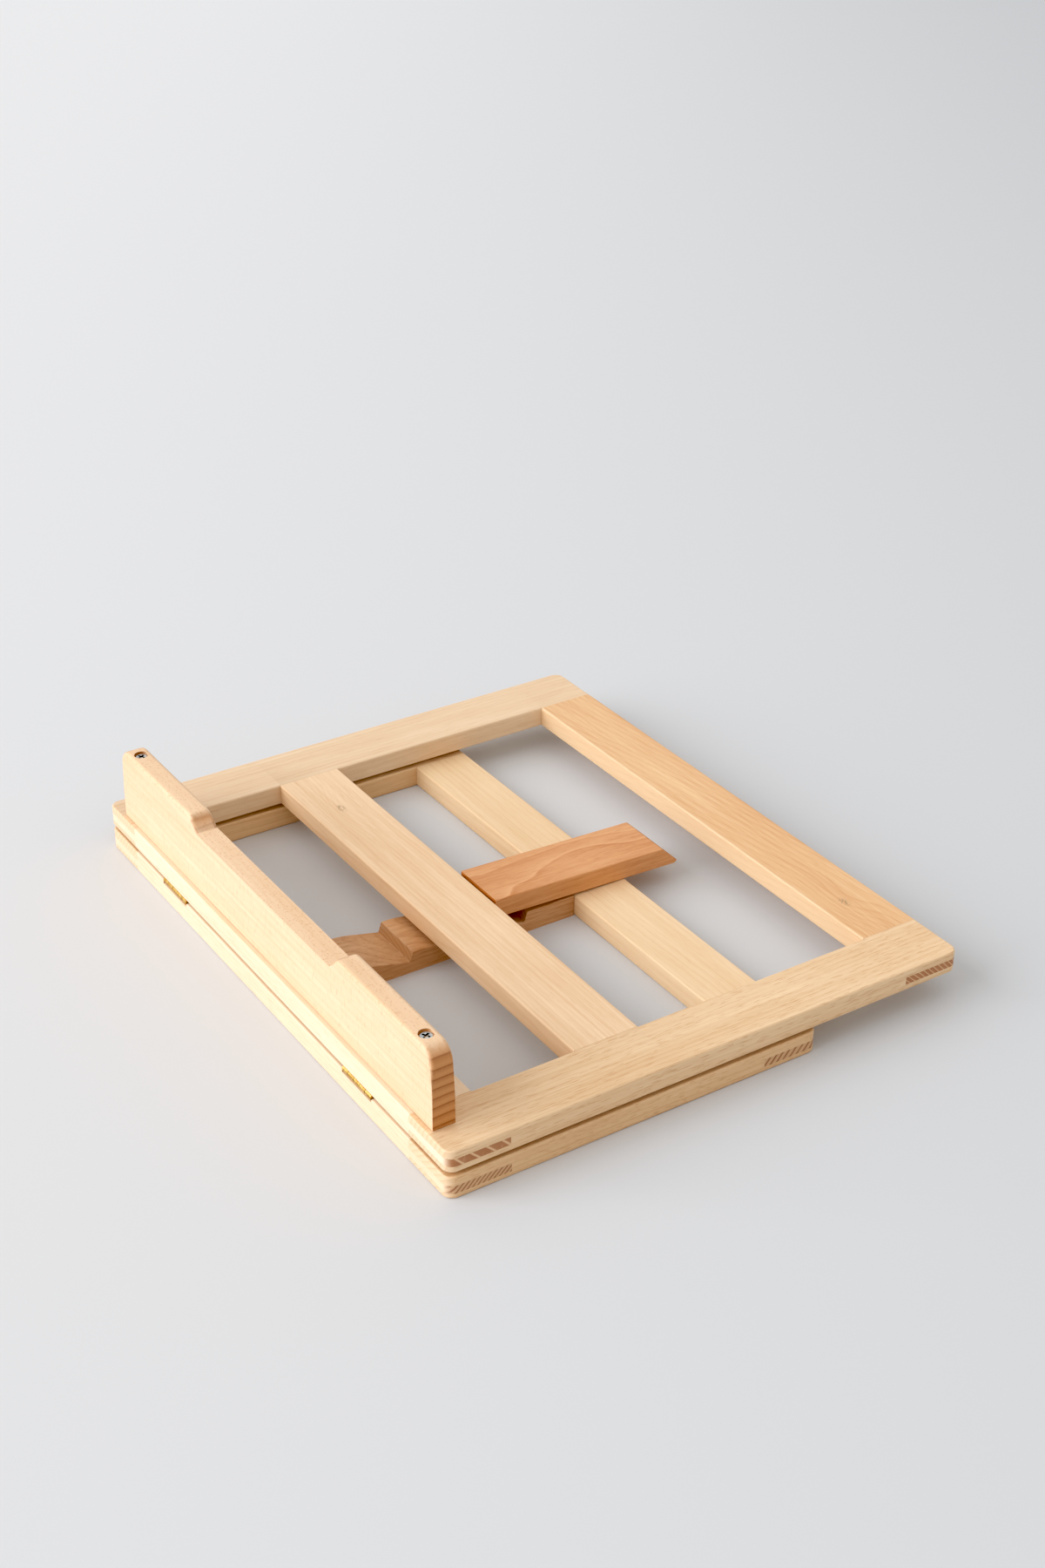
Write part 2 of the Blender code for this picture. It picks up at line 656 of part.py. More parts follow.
# the plate on the rail lies in a shallow recess, and both pieces leave room for the barrel
recess = box(
    "rail_plate_recess",
    (
        prop_x - PROP_HINGE_LENGTH / 2 - GAP,
        PROP_AXIS_Y - PLATE_LENGTH - GAP,
        LEAF_LOW - 0.002,
    ),
    (
        prop_x + PROP_HINGE_LENGTH / 2 + GAP,
        PROP_AXIS_Y + 0.002,
        PROP_AXIS_Z + rail_plate_low + PLATE_THICK + plate_clear,
    ),
)
cut(middle_rail, recess)
space_start = (prop_x - PROP_HINGE_LENGTH / 2 - GAP, PROP_AXIS_Y, PROP_AXIS_Z)
space_end = (prop_x + PROP_HINGE_LENGTH / 2 + GAP, PROP_AXIS_Y, PROP_AXIS_Z)
prop_space = PROP_BARREL_RADIUS + GAP
cut(middle_rail, rod("rail_barrel_space", prop_space, space_start, space_end))
leg_space = rod("leg_barrel_space", prop_space, space_start, space_end)
cut(prop_leg, leg_space)

rail_screw_y = PROP_AXIS_Y - 0.0078
fasten(
    rail_hinge_plate, ["prop_hinge_rail_screw_1", "prop_hinge_rail_screw_2"],
    [(prop_x - 0.008, rail_screw_y), (prop_x + 0.008, rail_screw_y)],
    PROP_AXIS_Z + rail_plate_low, -1, middle_rail,
)
leg_screw_y = PROP_AXIS_Y + 0.0078
fasten(
    prop_hinge_plate, ["prop_hinge_leg_screw_1", "prop_hinge_leg_screw_2"],
    [(prop_x - 0.008, leg_screw_y), (prop_x + 0.008, leg_screw_y)],
    PROP_AXIS_Z + prop_plate_low, -1, prop_leg,
)

# the leg, its plate, its screws and their cutters hang from the axis, which then droops to rest
bpy.context.view_layer.update()
leg_pieces = [prop_leg, prop_hinge_plate, leg_space]
for obj in bpy.data.objects:
    if obj.name.startswith(("prop_hinge_leg_screw", "prop_hinge_leg_plate_")):
        leg_pieces.append(obj)
for obj in leg_pieces:
    world = obj.matrix_world.copy()
    obj.parent = prop_axis
    obj.matrix_parent_inverse = prop_axis.matrix_world.inverted()
    obj.matrix_world = world
prop_axis.rotation_euler = (-PROP_DROOP, 0.0, 0.0)

# ---------------------------------------------------------------- tilting frame's axis
leaf_axis = bpy.data.objects.new("leaf_axis", None)
EASEL.objects.link(leaf_axis)
leaf_axis.location = (0.0, AXIS_Y, AXIS_Z)
bpy.context.view_layer.update()
LEAF_WORDS = ("leaf_", "ledge", "middle_mortise", "counterbore", "shank_hole", "prop_axis")
LEAF_ENDS = ("_leaf_plate", "_hinge_pin")
for obj in list(EASEL.objects):
    on_leaf = obj.name.startswith(LEAF_WORDS) or obj.name.endswith(LEAF_ENDS)
    on_leaf = on_leaf or "_hinge_leaf_screw" in obj.name or "prop_hinge_rail" in obj.name
    if not on_leaf or obj is leaf_axis or obj.parent is not None:
        continue
    world = obj.matrix_world.copy()
    obj.parent = leaf_axis
    obj.matrix_parent_inverse = leaf_axis.matrix_world.inverted()
    obj.matrix_world = world
bpy.context.view_layer.update()
print("prop droop at rest:", round(math.degrees(PROP_DROOP), 2), "degrees")
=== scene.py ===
# %% [markdown]
# # A folding table-top easel in beech
# The easel lies folded: a base frame on the table, a tilting frame on top of it, a ledge that stops
# a book from sliding off, and a prop leg that drops into the notches of a bar in the base.
# The sizes and joints already exist as a fixed frame, so this lesson only makes the surfaces: it
# loads the frame, makes each board with its rounded edges, and gives each one its own cut of wood.

# %% Load the frame
import json
import math

import bmesh
import bpy
from mathutils import Matrix, Vector


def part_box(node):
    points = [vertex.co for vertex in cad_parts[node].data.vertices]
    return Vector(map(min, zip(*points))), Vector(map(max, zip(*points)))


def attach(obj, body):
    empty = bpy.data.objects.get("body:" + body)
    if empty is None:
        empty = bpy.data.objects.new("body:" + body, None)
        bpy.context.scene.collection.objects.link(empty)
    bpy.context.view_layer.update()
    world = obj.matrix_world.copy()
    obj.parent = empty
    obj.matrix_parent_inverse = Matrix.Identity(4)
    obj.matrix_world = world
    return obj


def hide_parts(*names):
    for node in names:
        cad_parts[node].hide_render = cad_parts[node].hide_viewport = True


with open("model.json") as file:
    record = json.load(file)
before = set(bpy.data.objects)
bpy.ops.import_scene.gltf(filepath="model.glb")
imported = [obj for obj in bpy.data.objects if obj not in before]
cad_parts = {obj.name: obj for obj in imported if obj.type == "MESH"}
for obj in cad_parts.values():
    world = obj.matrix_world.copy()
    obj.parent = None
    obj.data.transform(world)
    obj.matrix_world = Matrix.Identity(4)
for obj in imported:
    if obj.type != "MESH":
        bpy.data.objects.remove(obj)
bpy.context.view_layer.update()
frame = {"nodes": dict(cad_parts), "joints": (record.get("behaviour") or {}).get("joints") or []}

# %% [markdown]
# ## Camera
# The easel is seen from its right and its hinge side, about 30 degrees from above. The camera
# stands about 1.3 m away with a lens of 51 mm, so the boards' edges draw together only a little.
# It is aimed with three directions at right angles, so it can also carry a slight roll.

# %% Camera
CAMERA_PLACE = Vector((0.9313, -0.5968, 0.7183))
CAMERA_LOOK = Vector((-0.726312, 0.474895, -0.496936)).normalized()
CAMERA_UP = Vector((-0.419895, 0.265844, 0.867764)).normalized()

camera_data = bpy.data.cameras.new("camera")
camera_data.lens = 51.42
camera_data.sensor_width = 36.0
camera_data.shift_x = -0.00496
camera_data.shift_y = 0.0036
camera_data.clip_start = 0.05
camera = bpy.data.objects.new("camera", camera_data)
bpy.context.scene.collection.objects.link(camera)
camera_right = CAMERA_LOOK.cross(CAMERA_UP).normalized()
camera_up = camera_right.cross(CAMERA_LOOK)
turn = Matrix((camera_right, camera_up, -CAMERA_LOOK)).transposed()
camera.matrix_world = Matrix.Translation(CAMERA_PLACE) @ turn.to_4x4()
bpy.context.scene.camera = camera
print("camera looks down by", round(math.degrees(math.asin(-CAMERA_LOOK.z)), 1), "degrees")

# %% [markdown]
# ## Shader helpers
# A wood shader is mostly arithmetic on positions. Written out as nodes one by one it would be
# unreadable, so a small class wraps a socket and turns Python's operators into Math nodes. A second
# class holds the node tree, and one of its methods makes every other kind of node: its settings
# first, then its sockets.

# %% Shader values
class Value:
    """Something that varies over a surface, as the output socket of a node."""

    def __init__(self, graph, socket):
        self.graph = graph
        self.socket = socket

    def _math(self, operation, *values):
        return self.graph.node("ShaderNodeMath", {"operation": operation}, values)

    def other(self, output):
        """Another output of the same node."""
        return Value(self.graph, self.socket.node.outputs[output])

    def __add__(self, other):
        return self._math("ADD", self, other)

    def __radd__(self, other):
        return self._math("ADD", other, self)

    def __sub__(self, other):
        return self._math("SUBTRACT", self, other)

    def __rsub__(self, other):
        return self._math("SUBTRACT", other, self)

    def __mul__(self, other):
        return self._math("MULTIPLY", self, other)

    def __rmul__(self, other):
        return self._math("MULTIPLY", other, self)

    def __truediv__(self, other):
        return self._math("DIVIDE", self, other)

    def __pow__(self, other):
        return self._math("POWER", self, other)

    def __mod__(self, other):
        return self._math("FLOORED_MODULO", self, other)


print("operators that make Math nodes: + - * / ** %")

# %% Shader graph
NODES_IN_A_ROW = 12


class Graph:
    """The node tree of one material, or of the world."""

    def __init__(self, name, kind=bpy.data.materials):
        self.owner = kind.new(name)
        self.owner.use_nodes = True
        self.tree = self.owner.node_tree
        self.tree.nodes.clear()

    def node(self, kind, settings=None, sockets=(), output=0):
        """Adds a node. `sockets` is a list by place or a dict by name or place."""
        row, column = divmod(len(self.tree.nodes), NODES_IN_A_ROW)
        made = self.tree.nodes.new(kind)
        made.location = (180 * column, -220 * row)
        for key, value in (settings or {}).items():
            if key == "ramp":
                self._ramp(made.color_ramp, value)
            else:
                setattr(made, key, value)
        pairs = sockets.items() if isinstance(sockets, dict) else enumerate(sockets)
        for key, value in pairs:
            if isinstance(value, Value):
                self.tree.links.new(value.socket, made.inputs[key])
            else:
                made.inputs[key].default_value = value
        return Value(self, made.outputs[output]) if made.outputs else None

    def _ramp(self, ramp, stops):
        while len(ramp.elements) < len(stops):
            ramp.elements.new(0.5)
        for element, (place, height) in zip(ramp.elements, stops):
            element.position = place
            element.color = (height, height, height, 1.0)

    def ramp(self, value, *stops):
        """A curve through (place, height) stops."""
        return self.node("ShaderNodeValToRGB", {"ramp": stops}, [value])

    def mix(self, share, first, second):
        """Two colours; a share of 0 gives the first and 1 the second."""
        return self.node("ShaderNodeMix", {"data_type": "RGBA"}, {0: share, 6: first, 7: second}, 2)

    def vector(self, operation, *values):
        return self.node("ShaderNodeVectorMath", {"operation": operation}, values)

    def noise(self, place, scale, detail=2.0, rough=0.5):
        sockets = {"Vector": place, "Scale": scale, "Detail": detail, "Roughness": rough}
        return self.node("ShaderNodeTexNoise", {}, sockets)

    def rise(self, value, low, high):
        """0 below a low value, 1 above a high one, and a smooth rise between."""
        settings = {"interpolation_type": "SMOOTHSTEP"}
        return self.node("ShaderNodeMapRange", settings, [value, low, high, 0.0, 1.0])

    def bump(self, strength, distance, height):
        sockets = {"Strength": strength, "Distance": distance, "Height": height}
        return self.node("ShaderNodeBump", {}, sockets)

    def surface(self, sockets):
        """Ends the graph with a Principled surface, and gives the material."""
        shader = self.node("ShaderNodeBsdfPrincipled", {}, sockets)
        self.node("ShaderNodeOutputMaterial", {}, [shader])
        return self.owner


print("a row holds", NODES_IN_A_ROW, "nodes")

# %% Colours
def shade(red, green, blue):
    """A colour from 0 to 255 values on the usual screen scale."""
    def linear(value):
        value = value / 255
        return value / 12.92 if value <= 0.04045 else ((value + 0.055) / 1.055) ** 2.4

    return (linear(red), linear(green), linear(blue), 1.0)


def darker(colour, share):
    """A colour with its brightness brought down to a share."""
    return tuple(part * share for part in colour[:3]) + (1.0,)


print("straw colour:", [round(c, 3) for c in shade(226, 190, 140)])

# %% [markdown]
# ## Beech
# Beech is a fine, even wood. Its year rings are faint lines 2 to 6 mm apart: long parallel lines
# where a board is cut along the radius, pointed arches where it is cut across it, and arcs on the
# ends. Its surest mark is a scatter of short dark dashes, the cut ends of its rays, which stretch
# into taller flakes on a radial face. All of it is carved from one solid picture of a trunk: the
# distance from a pith line gives the rings, so all faces of a board agree with each other. Each
# board gets its own pith place, tones and figure. Cut ends drink more oil and look darker; the
# attribute "end" marks them.

# %% Wood directions
# which of x, y and z lie across, up and along the fibres
ORDER = {"X": (1, 2, 0), "Y": (0, 2, 1)}


class Wood(Graph):
    """A graph that measures places across, up and along the fibres of one board."""

    def __init__(self, name, grain, seed):
        super().__init__(name)
        place = self.node("ShaderNodeTexCoord", output=3)
        parts = self.node("ShaderNodeSeparateXYZ", {}, [place])
        self.across, self.up, self.along = (parts.other(i) for i in ORDER[grain])
        self.fibres = self.spot(self.across, self.up, self.along)
        self.seed = seed

    def spot(self, across, up, along):
        return self.node("ShaderNodeCombineXYZ", {}, [across, up, along])

    def streaks(self, stretch, shift=(0.0, 0.0, 0.0), detail=2.0, rough=0.5):
        """Noise with its own fineness across, up and along the fibres."""
        place = self.vector("ADD", self.vector("MULTIPLY", self.fibres, stretch), shift)
        return self.noise(place, 1.0, detail, rough)


print("fibres can run along", ", ".join(ORDER))

# %% [markdown]
# The distance from the pith is an ordinary root of squares, with two slow bends and a fine ripple
# added so that no line is ruled. A knot pushes the rings aside, as they grew round the branch.

# %% Rings and knots
BEND = 0.016          # the range in metres over which the fibres wander
RIPPLE = 0.0015       # the range of their ripple
KNOT_PUSH = 0.006     # how far a branch pushes the rings aside
KNOT_LENGTH = 0.55    # distances along the fibres count this much, so a knot is drawn out


def pith_distance(wood, pith, tilt, wave):
    """How far each point lies from the pith, through fibres that bend slowly and ripple."""
    seed = wood.seed
    bend_across = wood.streaks((9.0, 9.0, 5.0), (seed, 0.0, 0.0), 1.0) - 0.5
    bend_up = wood.streaks((9.0, 9.0, 5.0), (seed, 7.3, 0.0), 1.0) - 0.5
    ripple = wood.streaks((60.0, 60.0, 20.0), (0.0, seed, 0.0)) - 0.5
    x = wood.across - pith[0] - wood.along * tilt + bend_across * (BEND * wave)
    y = wood.up - pith[1] + bend_up * (BEND * wave)
    return (x * x + y * y) ** 0.5 + ripple * (RIPPLE * wave)


def round_knot(wood, radius, knot):
    """The distance with the rings pushed round a small branch, and a mask of the branch."""
    side = wood.across - knot[0]
    ahead = (wood.along - knot[1]) * KNOT_LENGTH
    near = (side * side + ahead * ahead) ** 0.5
    grit = wood.streaks((900.0, 900.0, 900.0), detail=3.0, rough=0.7)
    branch = (1.0 - wood.rise(near, 0.0008, 0.0034)) * wood.rise(grit, 0.42, 0.62)
    return radius + (1.0 - wood.rise(near, 0.0005, 0.020)) * KNOT_PUSH, branch


print("fibres wander over", BEND * 1000, "mm and ripple over", RIPPLE * 1000, "mm")

# %% [markdown]
# The rays are drawn with Voronoi cells that are stretched along the fibres. Each cell holds one
# dash, and the cell's own random number decides how long and how dark it is, or leaves it out.

# %% Ray marks
RAY_CELLS = (1450.0, 1450.0, 115.0)    # cells in a metre across, up and along


def ray_marks(wood, size):
    """A mask of short dashes; `size` is the number of cells in a metre each way."""
    warp = wood.streaks((260.0, 260.0, 260.0), (0.0, 0.0, wood.seed)) - 0.5
    place = wood.spot(
        wood.across * size[0] + warp * 0.9,
        wood.up * size[1] + warp * 0.7,
        wood.along * size[2] + warp * 0.8 + wood.seed,
    )
    cells = wood.node("ShaderNodeTexVoronoi", {"feature": "F1"}, {"Vector": place, "Scale": 1.0})
    drawn = wood.node("ShaderNodeSeparateColor", {}, [cells.other(1)])
    spread = cells / (drawn * 0.85 + 0.40)
    return (1.0 - wood.rise(spread, 0.06, 0.52)) * wood.rise(drawn, 0.12, 0.85)


print("ray cells are", round(1000 / RAY_CELLS[2], 1), "mm long")

# %% [markdown]
# The ring curves say how dark the wood is from one year's start to its end. On a planed face the
# tone rises slowly and falls sharply after the late wood. On cut ends it shows as bands, as broad
# blocks or as single strokes, and every board takes the one that suits it.

# %% Ring curves
SOFT_RINGS = ((0.0, 0.05), (0.50, 0.15), (0.80, 0.45), (0.93, 1.0), (1.0, 0.05))
BAND_RINGS = ((0.0, 0.25), (0.30, 0.15), (0.75, 0.55), (0.92, 1.0), (1.0, 0.30))
BLOCK_RINGS = ((0.0, 0.0), (0.06, 0.0), (0.17, 0.9), (0.90, 1.0), (1.0, 0.0))
STROKE_RINGS = ((0.0, 0.1), (0.40, 0.2), (0.55, 1.0), (0.78, 0.9), (0.95, 0.1))
LIGHT_SEAMS = ((0.0, 1.0), (0.10, 0.35), (0.30, 0.0), (0.97, 0.0), (1.0, 1.0))
print("late wood is darkest at", SOFT_RINGS[3][0], "of a year's growth")

# %% [markdown]
# One function puts these together. Three noises of different fineness join the rings in a single
# tone, which runs between the board's light and dark colours. Heartwood, light seams, rays and a
# knot are laid over it where a board has them, and the cut ends come last.

# %% Beech shader
def beech(name, grain, pith, light, dark, ring=0.0032, figure=1.0, lines=1.0, wave=1.0,
          fleck=0.3, size=RAY_CELLS, tilt=0.0, pale=0.0, heart=None, knot=None,
          ends=None, end_rings=BAND_RINGS, end_ring=None, seed=0.0):
    """A beech material with its fibres along `grain` and its pith at two cross places.

    `ring` is the distance between years, and `end_ring` the same on cut ends where it differs.
    `figure`, `lines`, `fleck` and `pale` say how strongly rings, fibre lines, ray marks and light
    seams show, and `wave` how much the fibres wander. `tilt` is how far the pith drifts sideways
    for each metre along the board.
    """
    wood = Wood(name, grain, seed)
    radius = pith_distance(wood, pith, tilt, wave)
    branch = None
    if knot is not None:
        radius, branch = round_knot(wood, radius, knot)
    phase = (radius / ring + seed) % 1.0
    strong = wood.noise(wood.spot(radius * 85.0 + seed, 0.0, 0.0), 1.0)
    rings = wood.ramp(phase, *SOFT_RINGS) * (strong * 1.6 - 0.2)

    # fibres: hair-thin streaks, wider faint lines, and a ground tone that drifts like a cloud
    hairs = wood.streaks((2000.0, 2000.0, 60.0), (0.0, 0.0, seed), 3.0, 0.6)
    thread = wood.streaks((420.0, 420.0, 7.0), (seed, 0.0, 0.0), 3.0, 0.65)
    cloud = wood.streaks((34.0, 34.0, 8.0), (seed, 0.0, 0.0), 3.0, 0.55)
    tone = rings * (0.55 * figure) + (cloud - 0.5) * 0.95 + (hairs - 0.5) * 0.45
    tone = tone + (thread - 0.5) * (0.9 * lines) + 0.32
    colour = wood.mix(tone, light, dark)
    if heart is not None:
        # heartwood begins at a place across the board, and is redder
        (heart_light, heart_dark), start, full = heart
        inside = wood.rise(wood.across + (cloud - 0.5) * 0.002, start, full)
        colour = wood.mix(inside, colour, wood.mix(tone, heart_light, heart_dark))
    if pale > 0:
        # thin light seams between the years, as heartwood shows them
        seam = wood.ramp(phase, *LIGHT_SEAMS)
        colour = wood.mix(seam * wood.rise(strong, 0.35, 0.6) * pale, colour, light)
    dash = ray_marks(wood, size)
    ink = (dark[0] * 0.80, dark[1] * 0.64, dark[2] * 0.50, 1.0)
    colour = wood.mix(dash * fleck, colour, ink)
    if branch is not None:
        colour = wood.mix(branch * 0.75, colour, darker(dark, 0.4))

    # cut ends drink more oil: darker, with clear rings, fine pores and light ray lines
    end = wood.node("ShaderNodeAttribute", {"attribute_name": "end"}, output=2)
    pores = wood.streaks((2600.0, 2600.0, 300.0), rough=0.7)
    end_phase = (radius / (end_ring or ring) + seed) % 1.0
    mark = wood.ramp(end_phase, *end_rings) * (strong * 0.5 + 0.72) + (pores - 0.5) * 0.45
    end_light, end_dark = ends or (darker(light, 0.78), dark)
    cut = wood.mix(mark, end_light, end_dark)
    ray = wood.streaks((1500.0, 160.0, 160.0), (0.0, 0.0, seed), 1.0)
    cut = wood.mix(wood.rise(ray, 0.60, 0.75) * 0.35, cut, end_light)
    colour = wood.mix(end, colour, cut)

    rough = (hairs - 0.5) * 0.14 + dash * 0.10 + 0.46
    height = (hairs - 0.5) * 0.5 - dash * (1.2 * fleck) - rings * 0.2
    height = height + (pores - 0.5) * end * 0.4 - mark * end * 0.3
    return wood.surface({
        "Base Color": colour, "Roughness": rough, "Specular IOR Level": 0.4,
        "Normal": wood.bump(0.22, 0.0002, height),
    })


print("beech shader ready")

# %% [markdown]
# ## Boards
# Every member is a planed board: straight faces, edges eased by about a millimetre, and at the
# frames' corners an upright rounding of 6 mm. A board starts as a flat outline of a few corners
# pushed along one axis, and bevels then round the chosen edges. Large flat faces should shade flat
# while the small rounds shade softly, which is what the Weighted Normal modifier is for.

# %% Board helpers
AXES = "XYZ"
SLACK = 1e-5      # places closer than this count as the same


def only(kind, parts):
    """The vertices, edges or faces among the parts that an operator gives back."""
    return [part for part in parts if isinstance(part, kind)]


def prism(corners, axis, low, high):
    """A flat outline of a few corners, pushed along an axis."""
    bm = bmesh.new()
    place = AXES.index(axis)
    verts = []
    for first, second in corners:
        point = [first, second]
        point.insert(place, low)
        verts.append(bm.verts.new(point))
    face = bm.faces.new(verts)
    pushed = bmesh.ops.extrude_face_region(bm, geom=[face])["geom"]
    push = Vector((0.0, 0.0, 0.0))
    push[place] = high - low
    moved = only(bmesh.types.BMVert, pushed)
    bmesh.ops.translate(bm, verts=moved, vec=push)
    bmesh.ops.recalc_face_normals(bm, faces=bm.faces)
    return bm


def cut_at(bm, axis, value):
    """Adds a line of edges all round the piece where it crosses a plane."""
    normal = Vector((0.0, 0.0, 0.0))
    normal[AXES.index(axis)] = 1.0
    everything = [*bm.verts, *bm.edges, *bm.faces]
    bmesh.ops.bisect_plane(bm, geom=everything, dist=1e-7, plane_co=normal * value, plane_no=normal)


def edges_where(bm, test, least_angle=35):
    """Edges that stand out by at least an angle and whose two ends pass a test."""
    chosen = []
    for edge in bm.edges:
        if len(edge.link_faces) != 2 or edge.calc_face_angle() < math.radians(least_angle):
            continue
        if test(edge.verts[0].co, edge.verts[1].co):
            chosen.append(edge)
    return chosen


def soften(bm, edges, width, segments):
    bmesh.ops.bevel(
        bm, geom=edges, offset=width, offset_type="OFFSET", affect="EDGES",
        segments=segments, profile=0.5, material=-1, clamp_overlap=True,
    )


def same(first, second):
    return abs(first - second) < SLACK


print("helpers push, cut and soften outlines along", ", ".join(AXES))

# %% [markdown]
# A finished mesh becomes an object that rides on its body and stands for one node of the frame. Its
# corners are also marked for the shader: the more a face looks along the grain, the more it is a
# cut end. Faces that lie along the grain get none, even where a round edge beside them leans.

# %% Finishing a board
ALONG_GRAIN = 0.03     # a face that leans less than this lies along the grain
END_START = 0.25       # a corner that leans more than this starts to look like a cut end
END_BLEND = 0.6        # and over this much more lean it becomes one
SHARP_ANGLE = 50       # edges that turn by more degrees than this stay sharp


def finish_board(bm, node, body, grain, material):
    """Turns a bmesh into the piece that stands for a node, with its cut ends marked."""
    bmesh.ops.recalc_face_normals(bm, faces=bm.faces)
    mesh = bpy.data.meshes.new(node + "_board")
    bm.to_mesh(mesh)
    bm.free()
    mesh.shade_smooth()
    mesh.set_sharp_from_angle(angle=math.radians(SHARP_ANGLE))
    end = mesh.attributes.new("end", "FLOAT", "CORNER")
    axis = AXES.index(grain)
    for polygon in mesh.polygons:
        along_grain = abs(polygon.normal[axis]) < ALONG_GRAIN
        for loop in polygon.loop_indices:
            lean = 0.0 if along_grain else abs(mesh.corner_normals[loop].vector[axis])
            end.data[loop].value = min(max((lean - END_START) / END_BLEND, 0.0), 1.0)
    mesh.materials.append(material)
    piece = bpy.data.objects.new(node + "_board", mesh)
    bpy.context.scene.collection.objects.link(piece)
    even = piece.modifiers.new("even shading", "WEIGHTED_NORMAL")
    even.keep_sharp = True
    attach(piece, body)
    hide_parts(node)
    print(f"{node}: {len(mesh.polygons)} faces")


print("a corner is wholly a cut end from a lean of", END_START + END_BLEND)

# %% [markdown]
# ## The frames' side stiles
# At each corner the rail ends in a tenon that runs right through the stile, so the stile ends in a
# fork. Seen from the side, that fork is a flat outline of twelve corners. Pushed to the stile's
# width it already holds both slots. Its outer corners are rounded first, and the eased edges
# follow, but not where a rail meets the stile, because there the tops lie flush.

# %% Stiles
CORNER_ROUND = 0.006
CORNER_STEPS = 8
EASED = 0.0011
EASED_STEPS = 3
SEAM = 0.00005                   # the gap that parts two boards at a joint
LEAF_TENON = (0.0039, 0.0086)    # the tenon's underside and top, up from the underside of the rail
BASE_TENON = (0.0032, 0.0080)


def stile_shape(node, side, front_rail, back_rail, tenon, middle_rail=None):
    """The bmesh of one stile, between its front and back rails."""
    low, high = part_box(node)
    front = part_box(front_rail)[1][1]
    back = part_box(back_rail)[0][1]
    slot_low = low[2] + tenon[0] - SEAM
    slot_high = low[2] + tenon[1] + SEAM
    corners = [
        (low[1], low[2]), (high[1], low[2]),
        (high[1], slot_low), (back - SEAM, slot_low), (back - SEAM, slot_high), (high[1], slot_high),
        (high[1], high[2]), (low[1], high[2]),
        (low[1], slot_high), (front + SEAM, slot_high), (front + SEAM, slot_low), (low[1], slot_low),
    ]
    bm = prism(corners, "X", low[0], high[0])
    flush = [(low[1], front), (back, high[1])]
    if middle_rail is not None:
        flush.append((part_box(middle_rail)[0][1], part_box(middle_rail)[1][1]))
    for start, stop in flush:
        for value in (start, stop):
            if low[1] < value < high[1]:
                cut_at(bm, "Y", value)
    outer = high[0] if side > 0 else low[0]
    inner = low[0] if side > 0 else high[0]

    def upright_corner(a, b):
        at_end = same(a.y, low[1]) or same(a.y, high[1])
        return same(a.x, outer) and same(b.x, outer) and same(a.y, b.y) and at_end

    soften(bm, edges_where(bm, upright_corner), CORNER_ROUND, CORNER_STEPS)

    def long_edge(a, b):
        level = same(a.z, b.z) and (same(a.z, low[2]) or same(a.z, high[2]))
        middle = (a + b) / 2
        at_joint = same(middle.x, inner) and any(start < middle.y < stop for start, stop in flush)
        return level and not at_joint

    soften(bm, edges_where(bm, long_edge), EASED, EASED_STEPS)
    return bm


# %% [markdown]
# Each stile is cut from its own place in the trunk. The pith coordinates say where: far to one side
# gives straight parallel lines on the top face, straight below gives pointed arches.

# %% Make the stiles
STILE_ENDS = (shade(232, 203, 168), shade(218, 182, 142))

right_top = beech(
    "beech right leaf stile", "Y", (0.335, -0.030), shade(239, 209, 171), shade(210, 166, 120),
    figure=0.8, fleck=0.55, seed=1.7, ends=STILE_ENDS,
)
bm = stile_shape("leaf_right_stile", 1, "leaf_bottom_rail", "leaf_top_rail", LEAF_TENON,
                 "leaf_middle_rail")
finish_board(bm, "leaf_right_stile", "leaf", "Y", right_top)

left_top = beech(
    "beech left leaf stile", "Y", (-0.30, -0.06), shade(237, 210, 178), shade(214, 176, 136),
    figure=0.6, fleck=0.22, seed=5.1, ends=STILE_ENDS,
)
bm = stile_shape("leaf_left_stile", -1, "leaf_bottom_rail", "leaf_top_rail", LEAF_TENON,
                 "leaf_middle_rail")
finish_board(bm, "leaf_left_stile", "leaf", "Y", left_top)

right_base = beech(
    "beech right base stile", "Y", (0.26, -0.10), shade(233, 198, 156), shade(204, 158, 112),
    figure=0.9, fleck=0.5, size=(1500.0, 1500.0, 180.0), seed=8.4, ends=STILE_ENDS,
)
bm = stile_shape("base_right_stile", 1, "base_hinge_rail", "base_back_rail", BASE_TENON)
finish_board(bm, "base_right_stile", "base", "Y", right_base)

left_base = beech(
    "beech left base stile", "Y", (-0.27, 0.09), shade(235, 200, 158), shade(206, 162, 116),
    figure=0.8, fleck=0.4, seed=3.3, ends=STILE_ENDS,
)
bm = stile_shape("base_left_stile", -1, "base_hinge_rail", "base_back_rail", BASE_TENON)
finish_board(bm, "base_left_stile", "base", "Y", left_base)

# %% [markdown]
# ## Rails with through tenons
# From the hinge side a rail looks like a board with a tongue at each end. That outline, pushed to
# the rail's width, gives shoulders and tenons in one go. The tenons' outer corners follow the
# rounding of the stiles. The rail on the hinge side of the base also has two shallow recesses for
# the hinges' barrels, made by cutting lines round each place and lowering the part between.

